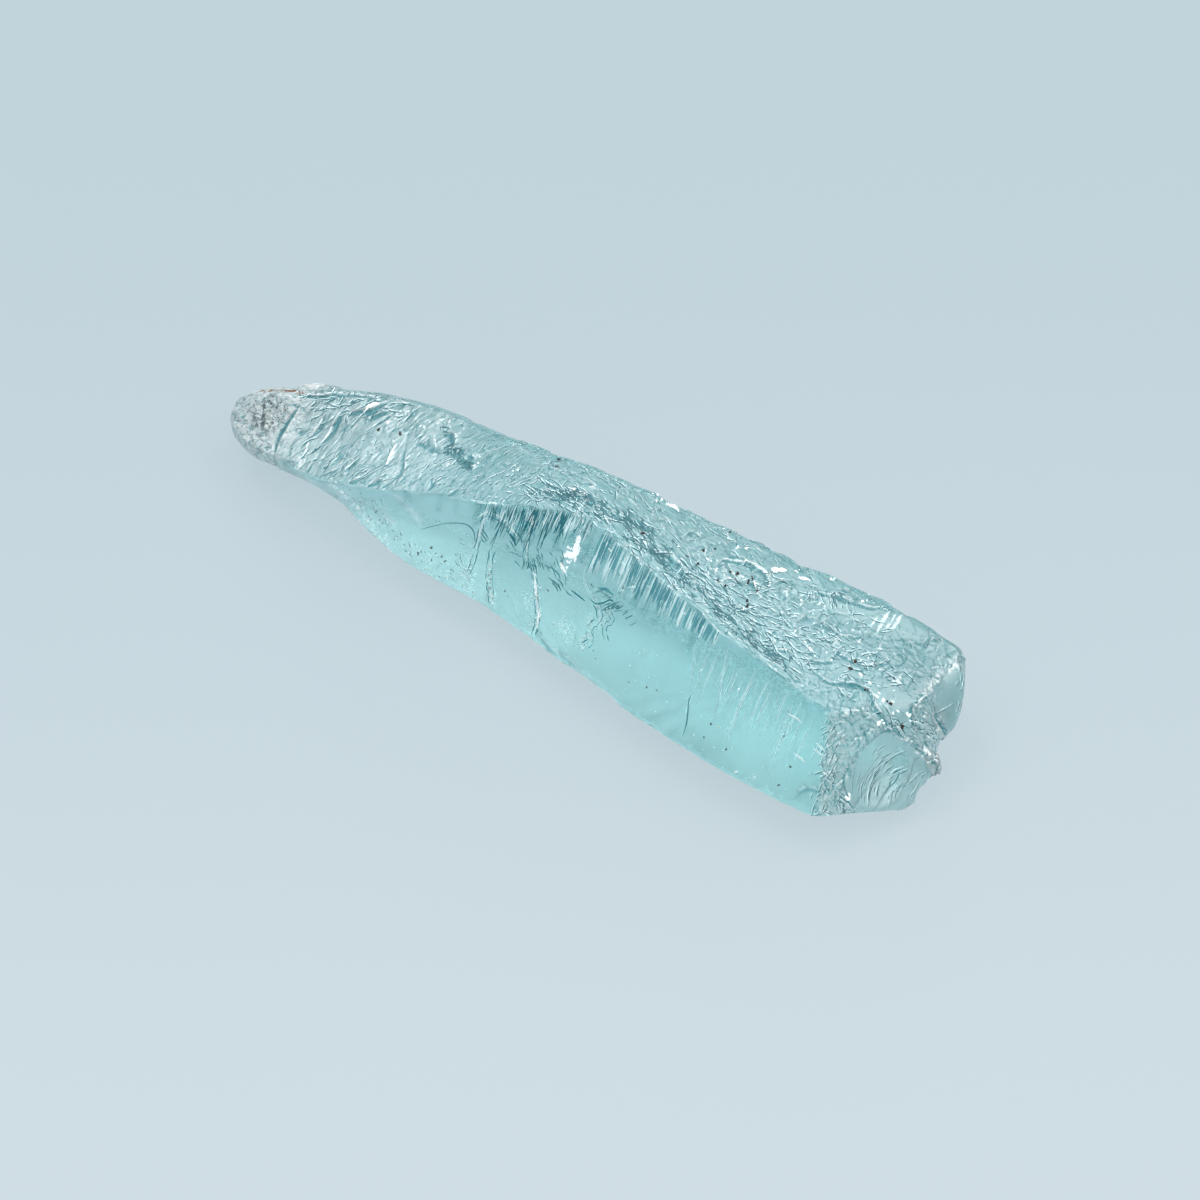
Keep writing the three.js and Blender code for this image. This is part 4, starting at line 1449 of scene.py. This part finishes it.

# White veins and chips, and white strokes as painted glints, in the same columns.
WHITE_THREADS = (
    Thread(((-2.1, 7.1), (-1.5, 6.1), (-0.9, 5.2), (-0.4, 4.4), (-0.3, 3.7)), 0.16, wobble=0.6),
    *alike(Thread, (
        (((-7.5, 8.9), (-6.9, 9.6), (-5.7, 9.5), (-4.7, 9), (-3.8, 8.5)), 0.09),
        (((-3.5, 10.9), (-3.4, 9.6), (-3.1, 8.2), (-2.8, 7.2)), 0.06),
        (((-7, 10.2), (-7, 8.4), (-7, 6.6)), 0.05),
        (((-3.4, 10.6), (-3.5, 10.1), (-3, 9.8)), 0.3),
        (((0.4, 10.3), (0.5, 9.7), (0.8, 8.7)), 0.45),
        (((-0.3, 8.6), (0.1, 8.9), (0.6, 9.1)), 0.5),
        (((-0.3, 8.2), (0.1, 7.9), (0.5, 7.7)), 0.32),
    ), wobble=0.5),
    *alike(Thread, (
        (((-0.3, 11.4), (0.2, 11.2), (0.6, 10.9)), 0.1),
        (((0.9, 11.3), (0.8, 10.9), (0.8, 10.5)), 0.12),
    )),
    Thread(((2.3, 10.6), (2.6, 10.9), (2.9, 11)), 0.45, wobble=0.6),
    *alike(Thread, (
        (((5.5, 9.4), (6.2, 9.8), (6.9, 10.3)), 0.08),
        (((6.9, 10.3), (7.5, 10.3), (8.3, 10.3)), 0.08),
        (((8.7, 9.7), (9, 10.1), (9.3, 10.4)), 0.08),
        (((9.7, 10.4), (10.4, 10.3), (11.1, 10.3)), 0.08),
        (((2.8, 10.8), (3.5, 10.7), (4, 10.8)), 0.09),
        (((4, 10.8), (4.7, 10.5), (5.4, 10.7)), 0.1),
        (((12, 10.3), (12.5, 10.3), (13.1, 10.4)), 0.08),
        (((21.1, 8.4), (21.8, 8.4), (22.3, 8.3)), 0.09),
        (((23.9, 7.6), (24.5, 7.4), (25.1, 7.1)), 0.08),
        (((22.6, 6.3), (23.2, 6.2), (23.7, 6.1)), 0.08),
        (((23.8, 7.2), (24.3, 7.1), (24.8, 7)), 0.07),
    )),
    *alike(Thread, (
        (((19.3, 0.5), (20, 0.1), (20.8, -0.2)), 0.14),
        (((18.5, -0.3), (19.1, -0.6), (19.6, -0.8)), 0.12),
    ), depth=0.02, face=Face.TOP),
    *alike(Thread, (
        (((14.2, 4.5), (14.6, 4.8), (15.1, 5.2)), 0.42),
        (((4.4, 5.5), (5, 5.6), (5.6, 5.5)), 0.3),
        (((16.2, 5), (16.6, 5.3), (17, 5.4)), 0.26),
    ), depth=0, wobble=0.5, face=Face.TOP),
    *alike(Thread, (
        (((-20.9, 2.5), (-20.6, 3), (-20.3, 3.5)), 0.24),
        (((-16.4, -1.1), (-16.6, -0.1), (-16.7, 0.6)), 0.14),
    ), depth=0, wobble=0.4, face=Face.TOP),
)

# The bowed crack, the cracks around the veins, and the scratches on the end's scar.
TEAL_THREADS = (
    *alike(Thread, (
        (((-11.7, 6.1), (-10.8, 6.8), (-9.6, 7.6), (-8.3, 8.1), (-7.5, 7.8), (-7.2, 7.1)), 0.06, 0.22),
        (((-7.1, 8.3), (-6.6, 8), (-6.2, 7.7)), 0.05, 0.2),
        (((-7, 8), (-6.6, 7.7), (-6.3, 7.5)), 0.04, 0.2),
        (((-6.8, 7.6), (-6.6, 7.4), (-6.4, 7.3)), 0.04, 0.2),
        (((-5.1, 8.8), (-4.4, 8.4), (-4, 8)), 0.15, 0.2),
        (((-1.5, 11.2), (-1.2, 10.5), (-0.8, 9.8)), 0.13, 0.22),
        (((-1.7, 11), (-1.5, 10.5), (-1.4, 10)), 0.07, 0.2),
        (((-1.6, 7.6), (-0.6, 7.6), (0, 7.4)), 0.04, 0.15),
        (((-0.8, 7), (-0.2, 6.9), (0.6, 6.7)), 0.06, 0.15),
        (((-0.4, 6.8), (0, 6.7), (0.3, 6.6)), 0.06, 0.15),
        (((-0.1, 7.2), (0.3, 7.1), (0.6, 7.1)), 0.05, 0.15),
        (((0.8, 6.9), (1.2, 6.8), (1.6, 6.8)), 0.05, 0.15),
        (((1.3, 7.1), (1.9, 7.1), (2.8, 7.1)), 0.1, 0.15),
        (((3, 7.4), (3.7, 7.4), (4.3, 7.8), (4.6, 8.1), (5.1, 8.2)), 0.11, 0.15),
        (((3.3, 8.1), (4, 8.25), (4.9, 8.2)), 0.05, 0.05),
        (((-7.4, 8.6), (-6.8, 9.3), (-5.7, 9.2), (-4.8, 8.8)), 0.05, 0.12),
        (((-3.8, 7), (-3.5, 6.9), (-3.2, 6.8)), 0.06, 0.15),
        (((-4.4, 7.4), (-3.9, 7.5), (-3.3, 7.4)), 0.04, 0.15),
        (((13.6, 6.3), (13.5, 5.8), (13.8, 5), (14, 4.2), (14, 3.6)), 0.06, 0.15),
    )),
    *alike(Thread, (
        (((-2.8, 3.5), (-3.7, 3.1), (-4.8, 3), (-6.3, 2.7)), 0.05, 0.08, 0.05, 0.1),
        (((-2.5, 3.2), (-3.1, 2.7), (-3.5, 2.4)), 0.05, 0.08, 0.05, 0.1),
        (((-1.8, 3.8), (-2.6, 3), (-4.1, 2.2), (-5, 1.9)), 0.05, 0.08, 0.05, 0.1),
        (((-0.8, 4.5), (-1.9, 3.2), (-3.1, 2.2)), 0.04, 0.06, 0.05, 0.1),
        (((-2.7, 4.4), (-3.8, 3.8), (-5, 3.7)), 0.04, 0.06, 0.05, 0.1),
    ), face=Face.END),
    *(crack for path, gap in VEINS for crack in edges_of(path, gap, 0.06)),
)

# White flecks along the veins, in clouds under the front face, and as chips on the broken faces. A row is a
# path, a count, a spread, the smallest and largest size, the least and greatest depth, and a face.
FLECKS = (
    *alike(Cluster, (
        (((-5.5, 6.3), (-5.5, 5.5), (-5.2, 4.7), (-4.7, 4.1), (-4.5, 3.5)), 60, 0.14, 0.06, 0.16),
        (((-2.1, 7.1), (-1.5, 6.1), (-0.9, 5.2), (-0.4, 4.4), (-0.3, 3.7)), 60, 0.14, 0.06, 0.18),
        (((-7.4, 6.7), (-6.9, 4.7), (-6.2, 3.2)), 40, 0.18, 0.05, 0.14),
        (((3.9, 7.4), (4.3, 7), (4.7, 6.6), (4.8, 7.5), (5.2, 7.2)), 45, 0.12, 0.06, 0.15),
        (((3.6, 6.6), (3.8, 6), (4.5, 5.6), (4, 5.2), (3.6, 4.8), (4, 4.5)), 60, 0.14, 0.06, 0.15),
        (((0.4, 10.3), (0.5, 9.5), (0.3, 8.8), (0.2, 7.9)), 40, 0.25, 0.1, 0.3),
        (((1.5, 4.7), (2.4, 4.6)), 160, 0.35, 0.03, 0.09, 0.2, 0.8),
        (((-1.9, 4.8), (-0.8, 3.9)), 130, 0.35, 0.03, 0.08, 0.2, 0.8),
        (((-17, 6), (-14, 4.8), (-11, 4.2), (-8, 3.6)), 90, 0.5, 0.04, 0.14, 0, 0.1),
        (((-21, 6.2), (-19, 5.4), (-16.5, 4.2), (-14, 3)), 160, 0.35, 0.05, 0.16, -0.03, 0.06),
        (((8, 5), (14, 4.5), (20, 3.8), (25, 3.8)), 40, 1.2, 0.03, 0.1),
    )),
    Cluster(((13.6, 7.9), (16.9, 8.2), (16.5, 5.3), (20.4, 3.7), (18.9, 3.4), (14.8, 4)),
             1, 0.02, 0.25, 0.32, exact=True),
    *alike(Cluster, (
        (((14.5, 4.8), (15.8, 5.7), (18.4, 6.3), (19, 3.7), (21.2, 6.2), (14.4, 0.3), (11.7, 5.3),
          (11.2, 4.7), (10.1, 5.4), (4.6, 5.6), (3.8, 5.6), (3.2, 5.9), (-17.6, 3.5), (-15.4, 2.9),
          (-11.9, 0.5), (-9.8, 1.7), (-6.8, 2.1)), 3, 0.2, 0.12, 0.32, -0.08, 0.02, Face.TOP, True),
        (((9, 2.4), (11, 2.2), (13, 2.2), (14.4, 2.6)), 90, 0.45, 0.05, 0.2, -0.08, 0.02, Face.TOP),
        (((17, 1), (19.5, 1.6), (22, 2), (25, 2)), 70, 1.6, 0.05, 0.2, -0.08, 0.02, Face.TOP),
        (((-24, 0.5), (-18, 0), (-10, 1), (0, 1)), 50, 1.4, 0.05, 0.16, -0.08, 0.02, Face.TOP),
        (((0.3, 7.7), (-0.2, 8.4), (0.5, 9), (0.1, 9.4), (-1.2, 7.9), (-6.1, 3.7)),
          4, 0.22, 0.15, 0.42, -0.1, 0.02, Face.END, True),
    )),
)

# Brown specks, alone and in clusters, in the same columns.
SPECKS = (
    Cluster(((4.7, 1.8), (9.2, 2.9), (8.5, 1.9), (9.5, 1.5), (9.8, 3.7), (11.7, 2.5), (12.4, 2.6),
             (13.5, 2.9), (13.5, 2.4), (14.3, 2.3), (11.5, 1.2), (12.2, 1.2), (14.1, 1), (14.4, 0.6),
             (9.8, 5.9), (23.5, 0.3), (23.5, 0.9), (-16.9, 1.6), (-18.8, 1.4), (-4.6, 4.9), (-4.2, 3.8)),
             2, 0.08, 0.16, 0.34, -0.08, 0, Face.TOP, True),
    Cluster(((2.8, 8.2), (2.9, 8.1), (-0.4, 6.3), (5.3, 4.6), (4.8, 4.9), (1, 4.7), (-3.4, 4.6), (-3.7, 4.8),
             (-10.5, 5.2), (-9.4, 5), (-9.5, 4.1), (-9.1, 4.7), (15.8, 5.3), (15.7, 4.3), (17.6, 4.4),
             (22.4, 4), (21.4, 7), (22.7, 5.4), (10, 5), (10.8, 5.2), (8.5, 4.6), (-17.2, 5.7), (-16.1, 6.5),
             (-14, 4.9), (-13.2, 5), (-11.4, 4.3)), 1, 0.03, 0.12, 0.26, 0, 0.06, exact=True),
    *alike(Cluster, (
        (((-5.4, 5.6), (-5.2, 4.7), (-4.6, 3.6)), 22, 0.12, 0.05, 0.14, 0.02, 0.1),
        (((-1.6, 6.4), (-0.7, 4.9), (-0.3, 3.7)), 14, 0.16, 0.05, 0.14, 0.02, 0.1),
        (((-6.8, 4.4), (-6.2, 3.3)), 10, 0.12, 0.05, 0.14, 0.02, 0.1),
        (((3.6, 6.4), (4.4, 5.6), (3.7, 4.7)), 16, 0.18, 0.05, 0.12, 0.02, 0.1),
        (((-17, 5.8), (-12, 4.4), (-8, 3.8)), 50, 0.5, 0.06, 0.17, 0, 0.06),
        (((-19, 6.6), (-17, 5.6), (-15, 5)), 30, 0.4, 0.06, 0.15, 0, 0.06),
        (((-0.4, 9.2), (0, 8.6), (-0.4, 7.1)), 3, 0.08, 0.2, 0.4, -0.08, 0, Face.END, True),
    )),
)

SEALED = (
    # The pale strokes beside the creases are painted highlights; the pale veins and growth lines are the
    # crystal's own.
    Sealed("pale_creases", PALE, 9, threads=PALE_THREADS, strokes=(
        *(beside(strokes, 0.08) for strokes in CREASES), LIGHT_COMBS, LIGHT_BARS, STREAKS,
    )),
    Sealed("white_veins", WHITE, 11, threads=WHITE_THREADS),
    Sealed("dark_cracks", TEAL, 12, threads=TEAL_THREADS, strokes=(*COMBS, *FANS)),
    Sealed("dark_creases", CREASE_SHADE, 18, strokes=(*CREASES, *CRUMPLES)),
    Sealed("grey_bars", SLATE, 17, strokes=(BARS,), threads=(
        Thread(((3.4, 8.3), (4, 8.5), (4.8, 8.5)), 0.3, 0.05),
    )),
    Sealed("white_flecks", WHITE, 13, clusters=FLECKS, thickness=0.4),
    Sealed("brown_specks", BROWN, 14, clusters=SPECKS),
    Sealed("rust", RUST, 16, clusters=(
        Cluster(((-30, 1.5), (-29.2, 1.8)), 26, 0.18, 0.05, 0.17, -0.04, 0.02, Face.TOP),
        Cluster(((-28, 2.2), (-27.2, 2.2), (-26.4, 2)), 60, 0.16, 0.05, 0.19, -0.04, 0.02, Face.TOP),
    )),
    Sealed("tip_grit", GRIT, 15, clusters=(
        Cluster(((-29.6, -0.6), (-28.2, -0.3), (-26.9, 0.2)), 420, 0.75, 0.04, 0.16, 0, 0.08, Face.TOP),
    )),
)


# ---- The room -----------------------------------------------------------------------------------
@dataclass(frozen=True)
class Lamp:
    """A soft round patch of light in the studio's sky."""

    azimuth: float
    elevation: float
    half_width: float
    strength: float

    def glow(self, way: Signal) -> Signal:
        """Returns the lamp's light along a way."""
        turn, rise = math.radians(self.azimuth), math.radians(self.elevation)
        centre = (math.cos(turn) * math.cos(rise), math.sin(turn) * math.cos(rise), math.sin(rise))
        edge, core = math.cos(math.radians(self.half_width)), math.cos(math.radians(self.half_width * 0.7))
        return way.dot(centre).ramp(edge, core) * self.strength


@dataclass(frozen=True)
class Studio:
    """A light table under a pale sky with a few lamps.

    Azimuths are in degrees from +X towards +Y.
    """

    floor_half_side: float = 1.5
    floor_drop: float = 0.00008
    floor_near: tuple[float, float, float] = (0.617, 0.716, 0.768)
    floor_far: tuple[float, float, float] = (0.491, 0.617, 0.679)
    floor_glow: float = 0.82
    floor_colour: tuple[float, float, float] = (0.09, 0.10, 0.105)
    floor_roughness: float = 0.9
    floor_way: tuple[float, float, float] = (-0.53, 0.848, 0.0)
    floor_fade: tuple[float, float] = (-0.07, 0.06)
    sky_rise: tuple[float, float] = (0.15, 0.75)
    horizon: float = 0.10
    ceiling: float = 1.15
    lamps: tuple[Lamp, ...] = (
        Lamp(160.0, 62.0, 10.0, 10.0),
        Lamp(75.0, 50.0, 9.0, 8.0),
        Lamp(120.0, 20.0, 9.0, 8.0),
        Lamp(20.0, 45.0, 9.0, 6.0),
        Lamp(230.0, 60.0, 9.0, 6.0),
    )

    def build(self) -> None:
        """Lays the floor and fills the world."""
        self.build_floor()
        self.build_world()

    def build_floor(self) -> None:
        """Lays a glowing floor, paler towards the camera, just under the crystal."""
        half, level = self.floor_half_side, -self.floor_drop
        mesh = bpy.data.meshes.new("floor")
        corners = [(-half, -half, level), (half, -half, level), (half, half, level), (-half, half, level)]
        mesh.from_pydata(corners, [], [(0, 1, 2, 3)])
        floor = bpy.data.objects.new("floor", mesh)
        bpy.context.scene.collection.objects.link(floor)
        material = bpy.data.materials.new("floor")
        material.use_nodes = True
        graph = Graph(material.node_tree)
        place = graph.node("ShaderNodeTexCoord", output="Object")
        away = place.dot(self.floor_way).ramp(*self.floor_fade)
        tint = away.tint(self.floor_near, self.floor_far)
        shader = material.node_tree.nodes["Principled BSDF"]
        shader.inputs["Base Color"].default_value = (*self.floor_colour, 1.0)
        shader.inputs["Roughness"].default_value = self.floor_roughness
        shader.inputs["Specular IOR Level"].default_value = 0.0
        graph.feed(shader.inputs["Emission Color"], tint)
        shader.inputs["Emission Strength"].default_value = self.floor_glow
        mesh.materials.append(material)

    def build_world(self) -> None:
        """Fills the world with a sky that darkens at the horizon, and the lamps."""
        world = bpy.data.worlds.new("studio")
        bpy.context.scene.world = world
        world.use_nodes = True
        tree = world.node_tree
        tree.nodes.clear()
        graph = Graph(tree)
        way = graph.node("ShaderNodeTexCoord", output="Generated")
        height = graph.node("ShaderNodeSeparateXYZ", inputs={0: way}, output="Z")
        light = height.ramp(*self.sky_rise) * (self.ceiling - self.horizon) + self.horizon
        for lamp in self.lamps:
            light = light + lamp.glow(way)
        background = graph.node("ShaderNodeBackground", inputs={"Color": (1.0, 1.0, 1.0), "Strength": light})
        out = tree.nodes.new("ShaderNodeOutputWorld")
        graph.feed(out.inputs["Surface"], background)


@dataclass(frozen=True)
class Camera:
    """The camera, high in front of the crystal and a little to its right.

    Angles are in degrees, the azimuth from -Y towards +X. The target and the distance are in millimetres.
    """

    azimuth: float = 32.0
    elevation: float = 55.0
    distance: float = 337.5
    target: tuple[float, float, float] = (3.05, -1.60, 5.5)
    lens: float = 135.0
    sensor: float = 36.0
    nearest: float = 0.01

    def build(self) -> None:
        """Adds the camera and makes it the scene's."""
        data = bpy.data.cameras.new("camera")
        data.lens, data.sensor_width, data.clip_start = self.lens, self.sensor, self.nearest
        camera = bpy.data.objects.new("camera", data)
        bpy.context.scene.collection.objects.link(camera)
        turn, rise = math.radians(self.azimuth), math.radians(self.elevation)
        back = Vector((math.sin(turn) * math.cos(rise), -math.cos(turn) * math.cos(rise), math.sin(rise)))
        camera.location = Vector(self.target) * METRES_PER_MM + back * (self.distance * METRES_PER_MM)
        camera.rotation_euler = back.to_track_quat("Z", "Y").to_euler()
        bpy.context.scene.camera = camera


def main() -> None:
    """Builds the crystal, what is sealed in it, and the studio."""
    logging.basicConfig(level=logging.INFO, format="%(message)s")
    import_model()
    Camera().build()
    crystal = CrystalBody().build()
    bpy.context.view_layer.update()
    skin, scatter = Skin(crystal), Scatter()
    for sealed in SEALED:
        sealed.build(skin, scatter)
    Studio().build()
    bpy.context.scene.view_settings.view_transform = "Standard"


if __name__ == "__main__":
    main()
